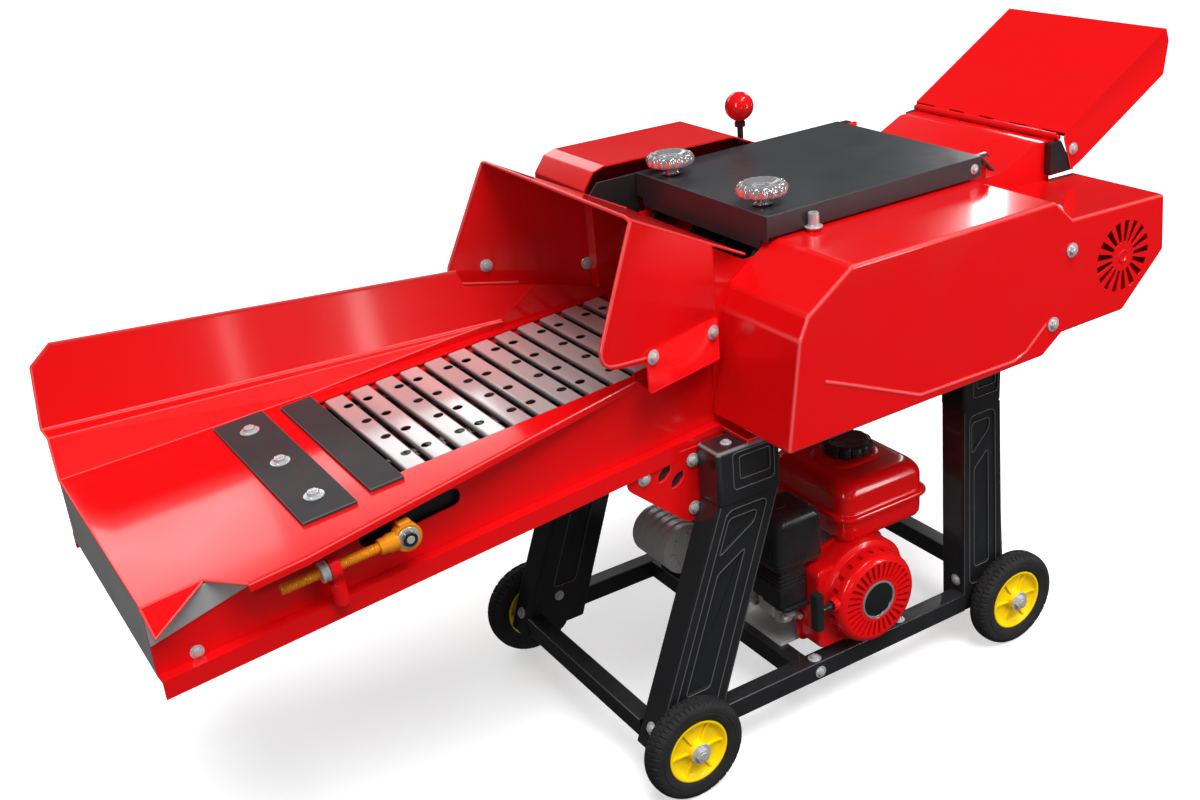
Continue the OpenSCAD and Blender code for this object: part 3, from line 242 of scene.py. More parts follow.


# Rounded edges carry the "edge" attribute, the share of painted highlight, on their middle rings
def roundEdges(bm, width, segments=2, pick=None, minAngle=25):
    line = paintedLightLayer(bm)
    edges = [e for e in bm.edges if len(e.link_faces) == 2
             and e.calc_face_angle(0) > math.radians(minAngle) and (pick is None or pick(e))]
    if edges:
        made = bmesh.ops.bevel(bm, geom=edges, offset=width, offset_type="OFFSET", segments=segments,
                               profile=0.5, affect="EDGES", clamp_overlap=True)
        strip = set(made["faces"])
        inner = {v for v in made["verts"] if all(f in strip for f in v.link_faces)}
        for vert in inner:
            rim = segments > 3 and any(e.other_vert(vert) not in inner for e in vert.link_edges)
            vert[line] = 0.05 if rim else (0.5 if segments > 3 else 0.8)
    return bm


def prism(points, low, high, axis="Y"):
    put = {"Y": lambda p, h: (p[0], h, p[1]), "Z": lambda p, h: (p[0], p[1], h),
           "X": lambda p, h: (h, p[0], p[1])}[axis]
    bm = bmesh.new()
    lower = [bm.verts.new(put(p, low)) for p in points]
    upper = [bm.verts.new(put(p, high)) for p in points]
    bm.faces.new(lower)
    bm.faces.new(upper)
    for i in range(len(points)):
        j = (i + 1) % len(points)
        bm.faces.new((lower[i], lower[j], upper[j], upper[i]))
    bmesh.ops.recalc_face_normals(bm, faces=bm.faces)
    return bm


def block(x, y, z):
    return prism([(x[0], y[0]), (x[1], y[0]), (x[1], y[1]), (x[0], y[1])], z[0], z[1], "Z")


def skin(bm, rings, closed=False):
    pairs = list(zip(rings, rings[1:])) + ([(rings[-1], rings[0])] if closed else [])
    for a, b in pairs:
        count = max(len(a), len(b))
        for i in range(count):
            j = (i + 1) % count
            if len(a) == 1:
                bm.faces.new((a[0], b[i], b[j]))
            elif len(b) == 1:
                bm.faces.new((a[i], a[j], b[0]))
            else:
                bm.faces.new((a[i], a[j], b[j], b[i]))
    if not closed:
        for ring in (rings[0], rings[-1]):
            if len(ring) > 2:
                bm.faces.new(ring)
    bmesh.ops.recalc_face_normals(bm, faces=bm.faces)
    return bm


# Turned shape: profile points are (radius, along, depth of the lobes)
def lathe(profile, centre=(0, 0, 0), axis="Y", segments=72, lobes=0, closed=False, sharp=1.0):
    bm = bmesh.new()
    put = {"Y": lambda a, b, h: (a, h, b), "Z": lambda a, b, h: (a, b, h),
           "X": lambda a, b, h: (h, a, b)}[axis]
    rings = []
    for point in profile:
        depth = point[2] if len(point) > 2 else 0
        ring = []
        for i in range(segments if point[0] > 0 else 1):
            turn = 2 * math.pi * i / segments
            wave = abs(math.sin(lobes * turn / 2)) ** sharp if sharp else 0.5 - 0.5 * math.cos(lobes * turn)
            radius = point[0] - depth * (1 - wave)
            spot = Vector(put(radius * math.cos(turn), radius * math.sin(turn), point[1]))
            ring.append(bm.verts.new(spot + Vector(centre)))
        rings.append(ring)
    return skin(bm, rings, closed)


def roundRect(x, y, radius, z, steps=5):
    corners = [(x[1] - radius, y[1] - radius, 0), (x[0] + radius, y[1] - radius, 90),
               (x[0] + radius, y[0] + radius, 180), (x[1] - radius, y[0] + radius, 270)]
    points = []
    for cx, cy, start in corners:
        for i in range(steps + 1):
            turn = math.radians(start + 90 * i / steps)
            points.append(Vector((cx + radius * math.cos(turn), cy + radius * math.sin(turn), z)))
    return points


# Stack of rounded rectangles: each level is (inset, corner radius, height)
def stackedBox(x, y, levels, steps=5):
    bm = bmesh.new()
    rings = []
    for inset, radius, z in levels:
        ring = roundRect((x[0] + inset, x[1] - inset), (y[0] + inset, y[1] - inset), radius, z, steps)
        rings.append([bm.verts.new(p) for p in ring])
    return skin(bm, rings)


# Section (side, lift) carried along a path with mitred corners
def sweep(path, section, up=(0, 0, 1), closed=False):
    bm = bmesh.new()
    path = [Vector(p) for p in path]
    up = Vector(up)
    rings = []
    for i, spot in enumerate(path):
        before = path[i] - path[i - 1] if i or closed else path[1] - path[0]
        after = path[(i + 1) % len(path)] - path[i] if i + 1 < len(path) or closed else before
        before = before.normalized()
        after = after.normalized()
        ahead = (before + after).normalized()
        side = ahead.cross(up).normalized()
        lift = side.cross(ahead)
        first = before.cross(up).normalized()
        reach = 1 / max(0.35, side.dot(first))
        rings.append([bm.verts.new(spot + side * (a * reach) + lift * b) for a, b in section])
    return skin(bm, rings, closed)


def circle(radius, count=10):
    return [(radius * math.cos(2 * math.pi * i / count), radius * math.sin(2 * math.pi * i / count))
            for i in range(count)]


def tempObject(bm, name):
    holder = bpy.data.objects.new(name, toMesh(bm, name))
    scene.collection.objects.link(holder)
    return holder


def cutAway(bm, cutter, name):
    target = tempObject(bm, name)
    tool = tempObject(cutter, name + "Tool")
    cut = target.modifiers.new("cut", "BOOLEAN")
    cut.operation = "DIFFERENCE"
    cut.solver = "MANIFOLD"
    cut.object = tool
    depsgraph = bpy.context.evaluated_depsgraph_get()
    mesh = bpy.data.meshes.new_from_object(target.evaluated_get(depsgraph), depsgraph=depsgraph)
    result = bmesh.new()
    result.from_mesh(mesh)
    bmesh.ops.scale(result, vec=(1 / mm, 1 / mm, 1 / mm), verts=result.verts)
    bmesh.ops.remove_doubles(result, verts=result.verts, dist=0.005)
    bpy.data.objects.remove(target)
    bpy.data.objects.remove(tool)
    return result


# Geometry Nodes trees for what repeats
def newTree(name, inputs):
    tree = bpy.data.node_groups.new(name, "GeometryNodeTree")
    for label, kind, value in inputs:
        socket = tree.interface.new_socket(label, in_out="INPUT", socket_type="NodeSocket" + kind)
        if value is not None:
            socket.default_value = value
    tree.interface.new_socket("Geometry", in_out="OUTPUT", socket_type="NodeSocketGeometry")
    given = tree.nodes.new("NodeGroupInput").outputs
    return tree, given


def endTree(tree, given, geometry):
    weld = addNode(tree, "GeometryNodeMergeByDistance", {"Geometry": geometry, "Distance": 0.00002})
    realize = addNode(tree, "GeometryNodeRealizeInstances", {"Geometry": weld.outputs["Geometry"]})
    paint = addNode(tree, "GeometryNodeSetMaterial", {"Geometry": realize.outputs["Geometry"],
                                                      "Material": given["Finish"]})
    addNode(tree, "NodeGroupOutput", {"Geometry": paint.outputs["Geometry"]})
    return tree


def worked(tree, operation, a, b):
    return addNode(tree, "ShaderNodeMath", {0: a, 1: b}, operation=operation).outputs[0]


def turnAbout(tree, axis, angle):
    angles = addNode(tree, "ShaderNodeCombineXYZ", {axis: angle})
    turn = addNode(tree, "FunctionNodeEulerToRotation", {"Euler": angles.outputs["Vector"]})
    return turn.outputs["Rotation"]


def copyPiece(tree, given, points, rotation, scale=(1, 1, 1)):
    source = addNode(tree, "GeometryNodeObjectInfo", {"Object": given["Piece"]})
    copies = addNode(tree, "GeometryNodeInstanceOnPoints", {
        "Points": points, "Instance": source.outputs["Geometry"], "Rotation": rotation, "Scale": scale})
    return copies.outputs["Instances"]


def makeRingTree():
    tree, given = newTree("piecesInRing", [
        ("Geometry", "Geometry", None), ("Piece", "Object", None), ("Count", "Int", 12),
        ("Sweep", "Float", 2 * math.pi), ("Centre", "Vector", (0, 0, 0)), ("Finish", "Material", None)])
    line = addNode(tree, "GeometryNodeMeshLine", {"Count": given["Count"], "Offset": (0, 0, 0)})
    index = addNode(tree, "GeometryNodeInputIndex", {})
    share = worked(tree, "DIVIDE", given["Sweep"], given["Count"])
    turn = turnAbout(tree, "Y", worked(tree, "MULTIPLY", index.outputs["Index"], share))
    copies = copyPiece(tree, given, line.outputs["Mesh"], turn)
    realize = addNode(tree, "GeometryNodeRealizeInstances", {"Geometry": copies})
    shift = addNode(tree, "GeometryNodeTransform", {"Geometry": realize.outputs["Geometry"],
                                                    "Translation": given["Centre"]})
    return endTree(tree, given, shift.outputs["Geometry"])


def makeRowTree():
    tree, given = newTree("piecesInRow", [
        ("Geometry", "Geometry", None), ("Piece", "Object", None), ("Count", "Int", 12),
        ("Start", "Vector", (0, 0, 0)), ("Step", "Vector", (0, 0, 0)), ("Alternate Turn", "Float", 0),
        ("Finish", "Material", None)])
    line = addNode(tree, "GeometryNodeMeshLine", {"Count": given["Count"], "Start Location": given["Start"],
                                                  "Offset": given["Step"]})
    index = addNode(tree, "GeometryNodeInputIndex", {})
    odd = worked(tree, "MODULO", index.outputs["Index"], 2)
    turn = turnAbout(tree, "Z", worked(tree, "MULTIPLY", odd, given["Alternate Turn"]))
    return endTree(tree, given, copyPiece(tree, given, line.outputs["Mesh"], turn))


def makeSpotTree():
    tree, given = newTree("piecesOnSpots", [
        ("Geometry", "Geometry", None), ("Piece", "Object", None), ("Finish", "Material", None)])
    aim = addNode(tree, "GeometryNodeInputNamedAttribute", {"Name": "aim"}, data_type="FLOAT_VECTOR")
    size = addNode(tree, "GeometryNodeInputNamedAttribute", {"Name": "size"}, data_type="FLOAT")
    turn = addNode(tree, "FunctionNodeAlignRotationToVector", {"Vector": aim.outputs["Attribute"]}, axis="Z")
    copies = copyPiece(tree, given, given["Geometry"], turn.outputs["Rotation"], size.outputs["Attribute"])
    return endTree(tree, given, copies)


def makeThreadTree():
    tree, given = newTree("screwThread", [
        ("Geometry", "Geometry", None), ("Turns", "Float", 40), ("Radius", "Float", 0.008),
        ("Length", "Float", 0.1), ("Ridge", "Float", 0.001), ("Finish", "Material", None)])
    coil = addNode(tree, "GeometryNodeCurveSpiral", {
        "Resolution": 20, "Rotations": given["Turns"], "Start Radius": given["Radius"],
        "End Radius": given["Radius"], "Height": given["Length"]})
    ridge = addNode(tree, "GeometryNodeCurvePrimitiveCircle", {"Resolution": 4, "Radius": given["Ridge"]})
    solid = addNode(tree, "GeometryNodeCurveToMesh", {
        "Curve": coil.outputs["Curve"], "Profile Curve": ridge.outputs["Curve"], "Fill Caps": True})
    return endTree(tree, given, solid.outputs["Mesh"])


ringTree = makeRingTree()
rowTree = makeRowTree()
spotTree = makeSpotTree()
threadTree = makeThreadTree()


def runTree(tree, values, points=None):
    holder = points
    if holder is None:
        holder = bpy.data.objects.new("holder", bpy.data.meshes.new("holder"))
        scene.collection.objects.link(holder)
    modifier = holder.modifiers.new(tree.name, "NODES")
    modifier.node_group = tree
    for item in tree.interface.items_tree:
        if item.item_type == "SOCKET" and item.in_out == "INPUT" and item.name in values:
            modifier[item.identifier] = values[item.name]
    depsgraph = bpy.context.evaluated_depsgraph_get()
    mesh = bpy.data.meshes.new_from_object(holder.evaluated_get(depsgraph), depsgraph=depsgraph)
    bpy.data.objects.remove(holder)
    return mesh


def ringOf(bm, count, finish, centre=(0, 0, 0), turn=360):
    source = tempObject(bm, "ringSource")
    mesh = runTree(ringTree, {"Piece": source, "Count": count, "Sweep": math.radians(turn),
                              "Centre": tuple(c * mm for c in centre), "Finish": finishes[finish]})
    bpy.data.objects.remove(source)
    return mesh


def rowOf(bm, count, step, finish, start=(0, 0, 0), alternate=0):
    source = tempObject(bm, "rowSource")
    mesh = runTree(rowTree, {"Piece": source, "Count": count, "Start": tuple(c * mm for c in start),
                             "Step": tuple(c * mm for c in step), "Alternate Turn": math.radians(alternate),
                             "Finish": finishes[finish]})
    bpy.data.objects.remove(source)
    return mesh


def threadMesh(turns, radius, length, ridge, finish):
    return runTree(threadTree, {"Turns": float(turns), "Radius": radius * mm, "Length": length * mm,
                                "Ridge": ridge * mm, "Finish": finishes[finish]})


def spotsMesh(spots, bm, finish):
    cloud = bpy.data.meshes.new("spots")
    cloud.from_pydata([tuple(c * mm for c in spot[0]) for spot in spots], [], [])
    cloud.attributes.new("aim", "FLOAT_VECTOR", "POINT")
    cloud.attributes.new("size", "FLOAT", "POINT")
    for i, spot in enumerate(spots):
        cloud.attributes["aim"].data[i].vector = Vector(spot[1]).normalized()
        cloud.attributes["size"].data[i].value = spot[2]
    points = bpy.data.objects.new("spots", cloud)
    scene.collection.objects.link(points)
    source = tempObject(bm, "spotSource")
    mesh = runTree(spotTree, {"Piece": source, "Finish": finishes[finish]}, points)
    bpy.data.objects.remove(source)
    return mesh


def meshToBm(mesh):
    bm = bmesh.new()
    bm.from_mesh(mesh)
    bmesh.ops.scale(bm, vec=(1 / mm, 1 / mm, 1 / mm), verts=bm.verts)
    bpy.data.meshes.remove(mesh)
    return bm


print("stage: node trees")


# Trough frame: u runs up the trough, w stands off its floor
trough = {"front": -1074, "height": 723, "slope": math.radians(4.35), "half": 252, "throatHalf": 180,
          "end": -40, "sheet": 3}
troughTurn = (Matrix.Translation((trough["front"], 0, trough["height"]))
              @ Matrix.Rotation(-trough["slope"], 4, "Y"))
troughUp = (-math.sin(trough["slope"]), 0, math.cos(trough["slope"]))


def onTrough(u, y, w):
    return troughTurn @ Vector((u, y, w))


def floorZ(x):
    return trough["height"] + math.tan(trough["slope"]) * (x - trough["front"])


def sideY(x):
    share = (x - trough["front"]) / (trough["end"] - trough["front"])
    return trough["half"] - (trough["half"] - trough["throatHalf"]) * share


def mirrored(bm):
    bmesh.ops.scale(bm, vec=(1, -1, 1), verts=bm.verts)
    bmesh.ops.reverse_faces(bm, faces=bm.faces)
    return bm


# Feed tray with its far wall, turned-down lips and the flap at the near front corner
# The pale* shares set how much painted highlight each lip, hem, roll and bead carries
tray = {"hem": 2.4, "cornerHem": 2.0, "frontHem": 2.2, "bead": 1.3, "wallBead": 2.0,
        "lipDrop": 13, "lipStart": -979, "lipTurn": -933, "lipWide": -844, "lipEnd": -207, "nearLip": 66,
        "foot": (-1068, 360, 776), "tip": (-1056, 378, 884), "topFront": (-1018, 917), "topEnd": (-316, 905),
        "corner": (-1074, 252, 722), "stripFront": (-1066, 320, 773), "stripBack": (-346, 14),
        "panelEnd": -630, "wallBack": (-252, 15),
        "flap": [(-1074, -252, 723), (-979, -246, 730), (-1071, -300, 697)],
        "frontEdge": [(-1073, -250, 721.5), (-1073, 252, 721.5)],
        "roll": [(2.9, 0), (2.4, 1.6), (0, 2.6), (-2.4, 1.6), (-2.9, 0), (-2.4, -5.5), (0, -6.4),
                 (2.4, -5.5)],
        "paleLip": 0.7, "paleHem": 0.35, "paleEnd": 0.4, "paleRoll": 0.22, "paleFold": 0.6}


def onSide(x, lift):
    return Vector((x, sideY(x) + 0.5, floorZ(x) + lift))


def onWall(x, z):
    foot = Vector(tray["foot"])
    across = (onSide(*tray["wallBack"]) + Vector((0, 1, 0)) - foot).cross(Vector(tray["tip"]) - foot)
    return Vector((x, foot.y - (across.x * (x - foot.x) + across.z * (z - foot.z)) / across.y, z))


def nearSide(x, reach):
    return Vector((x, -reach, floorZ(x)))


def makeTray():
    bm = nodeCopy("feed_tray")
    roundEdges(bm, 1.2, 2, lambda e: e.is_convex, 50)
    flap = [Vector(p) for p in tray["flap"]]
    across = (flap[1] - flap[0]).cross(flap[2] - flap[0]).normalized()
    if across.z < 0:
        across = -across
    plate = bmesh.new()
    upper = [plate.verts.new(p) for p in flap]
    lower = [plate.verts.new(p - across * trough["sheet"]) for p in flap]
    skin(plate, [upper, lower])
    addTo(bm, roundEdges(plate, 0.9, 2))
    makePiece("feedTray", bm, "redPaint", "frame", ("feed_tray",), 7)
    start, wide, end, reach = tray["lipStart"], tray["lipWide"], tray["lipEnd"], tray["nearLip"]
    nearEdge = [nearSide(start, sideY(start) + 3), nearSide(tray["lipTurn"], sideY(start) + reach - 4),
                nearSide(wide, sideY(wide) + reach), nearSide(end, sideY(end) + 3)]
    drop = tray["lipDrop"]
    section = [(-5, 0.3), (0, 0.3), (1.6, -0.5), (2.4, -2.2), (2.4, -drop + 1), (1.4, -drop),
               (0.2, -drop + 1), (0.2, -3.4), (-5, -3.3)]
    lips = paintedHighlightLines(sweep(nearEdge[1:], section, troughUp), len(section), (2, 5), tray["paleLip"])

    def trim(path, radius, up, share, points=12):
        addTo(lips, withPaintedHighlight(sweep(path, circle(radius, points), up), share))

    rim = [flap[1] - across, flap[2] - across, flap[0] - across]
    for path in (nearEdge[:2], flap[:2], rim):
        trim(path, tray["hem"], troughUp, tray["paleHem"])
    trim(tray["frontEdge"], tray["frontHem"], (0, 0, 1), tray["paleEnd"])
    # the far wall's hem: a flattened roll along its free edges
    foot, tip = Vector(tray["foot"]), Vector(tray["tip"])
    back = Vector((0, 1.0, -0.4))
    topEdge = [p + back for p in (tip, onWall(*tray["topFront"]), onWall(*tray["topEnd"]))]
    addTo(lips, withPaintedHighlight(sweep(topEdge, tray["roll"], (0, -0.16, 1)), tray["paleRoll"]))
    trim([foot + back, tip + back], tray["hem"], (1, 0, 0), tray["paleEnd"])
    corner, strip = Vector(tray["corner"]), Vector(tray["stripFront"])
    trim([corner, strip + back, foot + back], tray["cornerHem"], (1, 0, 0), tray["paleEnd"])
    # beads where the sheet is folded, with painted highlight on them
    wallLine = [foot, onSide(*tray["wallBack"])]
    folds = [[p + Vector((0, -5.5, -1.5)) for p in wallLine],
             [strip, onSide(*tray["stripBack"])],
             [corner + Vector((0, 0, 0.6)), onSide(tray["panelEnd"], -0.4)],
             [onSide(tray["panelEnd"], 0), onSide(*tray["stripBack"]), onSide(*tray["wallBack"])]]
    trim(wallLine, tray["wallBead"], troughUp, tray["paleFold"], 10)
    for path in folds:
        trim(path, tray["bead"], troughUp, tray["paleFold"], 10)
    makePiece("trayLips", lips, "redPaint", "frame")


makeTray()


# A CAD node's own outline with softened edges
def softNode(node, finish, width=1.0, segments=2, pick=None, minAngle=28):
    bm = nodeCopy(node)
    roundEdges(bm, width, segments, pick or (lambda e: e.is_convex), minAngle)
    return makePiece(node + "Skin", bm, finish, bodyOf[node], (node,))


# Trough sides: the adjuster slot has round ends, and a guard behind it
slot = {"u": (333, 513), "w": (-68, -38), "radius": 13, "guardY": (205, 208), "guardU": (322, 530),
        "guardW": (-94, -19), "shaftU": (356, 416), "shaftW": (-72, -34)}


def makeTroughSides():
    bm = nodeCopy("trough_sides")
    corners = [onTrough(u, 0, w) for u in slot["u"] for w in slot["w"]]

    def atSlot(e):
        spot = middle(e)
        return abs(heading(e).y) > 0.9 and e.calc_length() < 5 and any(
            math.hypot(spot.x - c.x, spot.z - c.z) < 3 for c in corners)

    roundEdges(bm, slot["radius"], 6, atSlot, 40)
    roundEdges(bm, 1.4, 2, lambda e: e.is_convex, 40)
    makePiece("troughSides", bm, "redPaint", "frame", ("trough_sides",))
    u, w, shaft, gap = slot["guardU"], slot["guardW"], slot["shaftU"], slot["shaftW"]
    plates = [((u[0], shaft[0]), w), ((shaft[1], u[1]), w), (shaft, (w[0], gap[0])), (shaft, (gap[1], w[1]))]
    low, high = slot["guardY"]
    guards = bmesh.new()
    for y in ((low, high), (-high, -low)):
        for across, lift in plates:
            addTo(guards, block(across, y, lift), troughTurn)
    makePiece("slotGuards", guards, "blackPaint", "frame")


makeTroughSides()
softNode("grey_panels", "greyPaint", 0.8)
softNode("wear_bars", "barBlack", 1.4, 3)
print("stage: trough")


# Slats: pressed channels with rolled edges and four holes each
slat = {"count": 12, "pitch": 49, "start": 445.3, "gapShadeBed": ((427, 1040), (-168, 168), (-25, -23.5)),
        "width": 40, "half": 172, "thick": 8, "gauge": 1.6, "foot": 0.4,
        "roll": 6.4, "holeR": 9, "holeStep": 80, "holeShift": 6, "upper": -9, "lower": -105}


def arc(cx, cy, radius, fromAngle, toAngle, steps=5):
    points = []
    for i in range(steps + 1):
        turn = math.radians(fromAngle + (toAngle - fromAngle) * i / steps)
        points.append((cx + radius * math.cos(turn), cy + radius * math.sin(turn)))
    return points


def slatSource():
    w, t, g, r, low = slat["width"], slat["thick"], slat["gauge"], slat["roll"], slat["foot"]
    outer = [(0.0, low)] + arc(r, t - r, r, 180, 90) + arc(w - r, t - r, r, 90, 0) + [(w, low)]
    inner = [(w - g, low)] + arc(w - r, t - r, r - g, 0, 90) + arc(r, t - r, r - g, 90, 180) + [(g, low)]
    bm = prism(outer + inner, -slat["half"], slat["half"])
    holes = bmesh.new()
    for j in (-1.5, -0.5, 0.5, 1.5):
        addTo(holes, lathe([(0, -4), (slat["holeR"], -4), (slat["holeR"], 14), (0, 14)],
                           (w / 2 + slat["holeShift"], j * slat["holeStep"], 0), "Z", 20))
    bm = shifted(cutAway(bm, holes, "slat"), (-w / 2, 0, 0))
    # painted shade: the share of the slat's dark "edge" colour grows down the rolled edges
    line = paintedLightLayer(bm)
    for vert in bm.verts:  # the rolled edges darken downwards
        vert[line] = min(1, max(0, (t - 0.3 - vert.co.z) / 2))
    return bm


chain = {"y": 120, "pitch": 24.5, "plate": 9, "plateY": (5.0, 6.6), "sink": 4.6,
         "roller": [(0, -7.2), (2.2, -7.2), (2.2, -6.4), (4.2, -4.6), (4.2, 4.6), (2.2, 6.4), (2.2, 7.2),
                    (0, 7.2)]}


def chainLink():
    half, r = chain["pitch"] / 2, chain["plate"] / 2
    outline = arc(half, 0, r, -90, 90, 8) + arc(-half, 0, r, 90, 270, 8)
    low, high = chain["plateY"]
    link = prism(outline, -high, -low)
    addTo(link, prism(outline, low, high))
    for x in (-half, half):
        addTo(link, lathe(chain["roller"], (x, 0, 0), "Y", 10))
    return link


def makeSlats(run, level, flip):
    body = bodyOf[run]
    bm = slatSource()
    if flip:
        turn = Matrix.Rotation(math.pi, 3, "X")
        bmesh.ops.rotate(bm, cent=(0, 0, slat["thick"] / 2), matrix=turn, verts=bm.verts)
    mesh = rowOf(bm, slat["count"], (slat["pitch"], 0, 0), "slatSteel",
                 (slat["start"] + slat["pitch"] / 2, 0, level), 180)
    mesh.transform(Matrix.Scale(mm, 4) @ troughTurn @ Matrix.Scale(1 / mm, 4))
    placeMesh(run + "Channels", mesh, "slatSteel", body, (run,))
    chains = bmesh.new()
    links = int(slat["count"] * slat["pitch"] / (2 * chain["pitch"])) - 1  # clear of the idler's sprockets
    height = level + slat["thick"] + chain["sink"] if flip else level - chain["sink"]
    for side in (-1, 1):
        row = rowOf(chainLink(), links, (2 * chain["pitch"], 0, 0), "machineSteel",
                    (slat["start"] + 2.5 * chain["pitch"], side * chain["y"], height))
        addTo(chains, meshToBm(row))
    makePiece(run + "Chain", laid(chains, troughTurn), "machineSteel", body)


# black slider bed under the upper slats: painted shade in the gaps between them
makePiece("conveyorBed", roundEdges(laid(block(*slat["gapShadeBed"]), troughTurn), 0.4, 1), "blackPaint", "frame")
makeSlats("slats_upper", slat["upper"], False)
makeSlats("slats_lower", slat["lower"], True)
softNode("conveyor_shaft", "machineSteel", 0.6)
softNode("idler_shaft", "machineSteel", 0.8)
print("stage: conveyor")


# Chain adjuster: threaded screws, eye blocks, ring nuts, and plates that close the slots from inside
adjuster = {"u": 395, "w": -53, "y": 270, "slide": ((332, 458), (201, 204.4), (-78, -28)),
            "collar": [(8.2, -46), (12, -46), (13, -44.5), (13, -36), (15, -30), (15, -16), (8.2, -16)],
            "boss": ((-11, 11), (-8, 8), (15, 27)),
            "threadU": 192, "threadLength": 150, "threadR": 7.5, "ridge": 1.5, "pitch": 3.2, "nutU": 251.7,
            "nut": [(8.2, 0), (15.5, 0), (17, 1.2), (17, 4.2), (15.6, 5), (15.6, 9), (17, 9.8), (17, 12.8),
                    (15.5, 14), (8.2, 14)],
            "endY": 279, "endPin": [(0, 8.5), (6, 8.5), (7, 7.6), (7, 0), (0, 0)], "endHex": (12.5, 6.5),
            "endWasher": [(0, -2), (17, -2), (17.6, -1.2), (17.6, 0.2), (17, 1), (0, 1)]}


def makeAdjuster():
    u, y, w = adjuster["u"], adjuster["y"], adjuster["w"]
    along, across, lift = adjuster["slide"]
    slides = block(along, across, lift)
    addTo(slides, block(along, (-across[1], -across[0]), lift))
    screwBody = bodyOf["eye_screws"]
    makePiece("idlerSlides", roundEdges(laid(slides, troughTurn), 0.6, 1), "blackPaint", screwBody)
    eyes = nodeCopy("eye_screws")
    roundEdges(eyes, 1.6, 3, lambda e: e.is_convex, 40)
    threads = bmesh.new()
    for side in (-1, 1):
        spot = (u, side * y, w)
        collar = lathe(adjuster["collar"], (0, 0, 0), "X", 32, closed=True)
        addTo(eyes, shifted(collar, spot), troughTurn)
        boss = shifted(block(*adjuster["boss"]), spot)
        addTo(eyes, roundEdges(boss, 2.5, 3), troughTurn)
        length, ridge = adjuster["threadLength"], adjuster["ridge"]
        coil = threadMesh(length / adjuster["pitch"], adjuster["threadR"], length, ridge, "zincPlate")
        lay = Matrix.Translation((adjuster["threadU"], side * y, w)) @ Matrix.Rotation(math.pi / 2, 4, "Y")
        addTo(threads, meshToBm(coil), troughTurn @ lay)
    makePiece("eyeScrews", eyes, "zincPlate", screwBody, ("eye_screws",))
    makePiece("screwThreads", threads, "zincPlate", screwBody)
    for side, end in ((-1, "_near"), (1, "_far")):
        node = "adjuster_nut" + end
        ring = lathe(adjuster["nut"], (0, 0, 0), "X", 48, closed=True)
        shifted(ring, (adjuster["nutU"], side * y, w))
        makePiece(node + "Ring", laid(ring, troughTurn), "boltSteel", bodyOf[node], (node,))
        radius, thick = adjuster["endHex"]
        ends = lathe(adjuster["endPin"], (0, 0, 0), "Y", 24)
        addTo(ends, roundEdges(prism(circle(radius, 6), 0, thick), 1.0, 2))
        addTo(ends, lathe(adjuster["endWasher"], (0, 0, 0), "Y", 40))
        if side < 0:
            mirrored(ends)
        shifted(ends, (u, side * adjuster["endY"], w))
        makePiece("idlerNut" + end[1:], laid(ends, troughTurn), "boltSteel", bodyOf["idler_shaft"])


makeAdjuster()
print("stage: adjuster")


# Hood over the throat with folded lips that carry painted highlight; a side's points are (along the side,
# height)
hood = {"front": -223, "half": 250, "taper": math.radians(13.68), "lip": 3.4, "slopeLip": 2.6, "paleLip": 0.3,
        "side": [(40, 846), (-60, 862), (-76, 866), (-86, 874), (-91, 886), (-89, 900), (-8, 1075),
                 (-2, 1086)],
        "across": (-224, 236, 1089.5), "slopeTop": (-2, 1088), "slopeFoot": (36, 187.5, 952.5)}


def hoodSide(s, z, side):
    y = hood["half"] - s * math.sin(hood["taper"]) + 1.5
    return Vector((hood["front"] + s * math.cos(hood["taper"]), side * y, z))


def makeHood():
    bm = nodeCopy("feed_hood")
    roundEdges(bm, 1.2, 2, lambda e: e.is_convex, 40)
    makePiece("feedHood", bm, "redPaint", "frame", ("feed_hood",))
    lips = bmesh.new()
    roll = circle(hood["lip"], 12)
    pale = hood["paleLip"]
    for side in (-1, 1):
        path = [hoodSide(s, z, side) for s, z in hood["side"]]
        addTo(lips, withPaintedHighlight(sweep(path, roll, (0, 1, 0)), pale))
    x, y, z = hood["across"]
    top = hood["side"][-1]
    across = [hoodSide(*top, -1), (x, -y, z), (x, y, z), hoodSide(*top, 1)]
    addTo(lips, withPaintedHighlight(sweep(across, roll, (0, 0, 1)), pale))
    x, y, z = hood["slopeFoot"]
    for side in (-1, 1):
        slope = [hoodSide(*hood["slopeTop"], side), Vector((x, side * y, z))]
        addTo(lips, withPaintedHighlight(sweep(slope, circle(hood["slopeLip"], 12), (0, 0, 1)), pale))
    makePiece("hoodLips", lips, "redPaint", "frame")


makeHood()


# Covers: folded boxes with rounded front edges, pressed crease and air vent
covers = {"nearFace": -400, "farFace": 400, "fold": 7, "vent": (743, 823), "ventReach": 80,
          "crease": [(34, 783), (80, 764), (243, 694), (470, 691), (500, 702), (548, 742)],
          "ridge": [(-9, -0.8), (-4, 0.7), (-1.5, 2.0), (1, 2.0), (3, 0.8), (6, -0.8)], "paleRidge": 0.45,
          "dimple": [(0, 0.5), (5, 0.2), (9, -0.9), (10.5, -1.5), (12.5, -0.9), (14, 0.6)],
          "bossSpot": (168, -214, 969), "boss": [(0, -1), (13, -1), (13, 1), (11.5, 3), (11.5, 6), (0, 6)],
          "bolt": [(0, 6), (15, 6), (16, 6.6), (16, 8.2), (15, 9), (12, 9.4), (10.4, 12), (10, 13), (10, 31),
                   (9, 32.5), (5.4, 32.5), (5.2, 24), (0, 24)],
          "cheek": [(-38, 985), (-13, 1011), (80, 1011), (80, 938), (38, 938)], "cheekY": (205.6, 210)}


# Outer folds of a cover: long bends across it, and the rim of its face
def coverFold(e, face, shortest):
    longFold = abs(heading(e).y) > 0.99 and e.calc_length() > shortest
    return e.is_convex and (longFold or (abs(middle(e).y - face) < 0.1 and abs(heading(e).y) < 0.01))


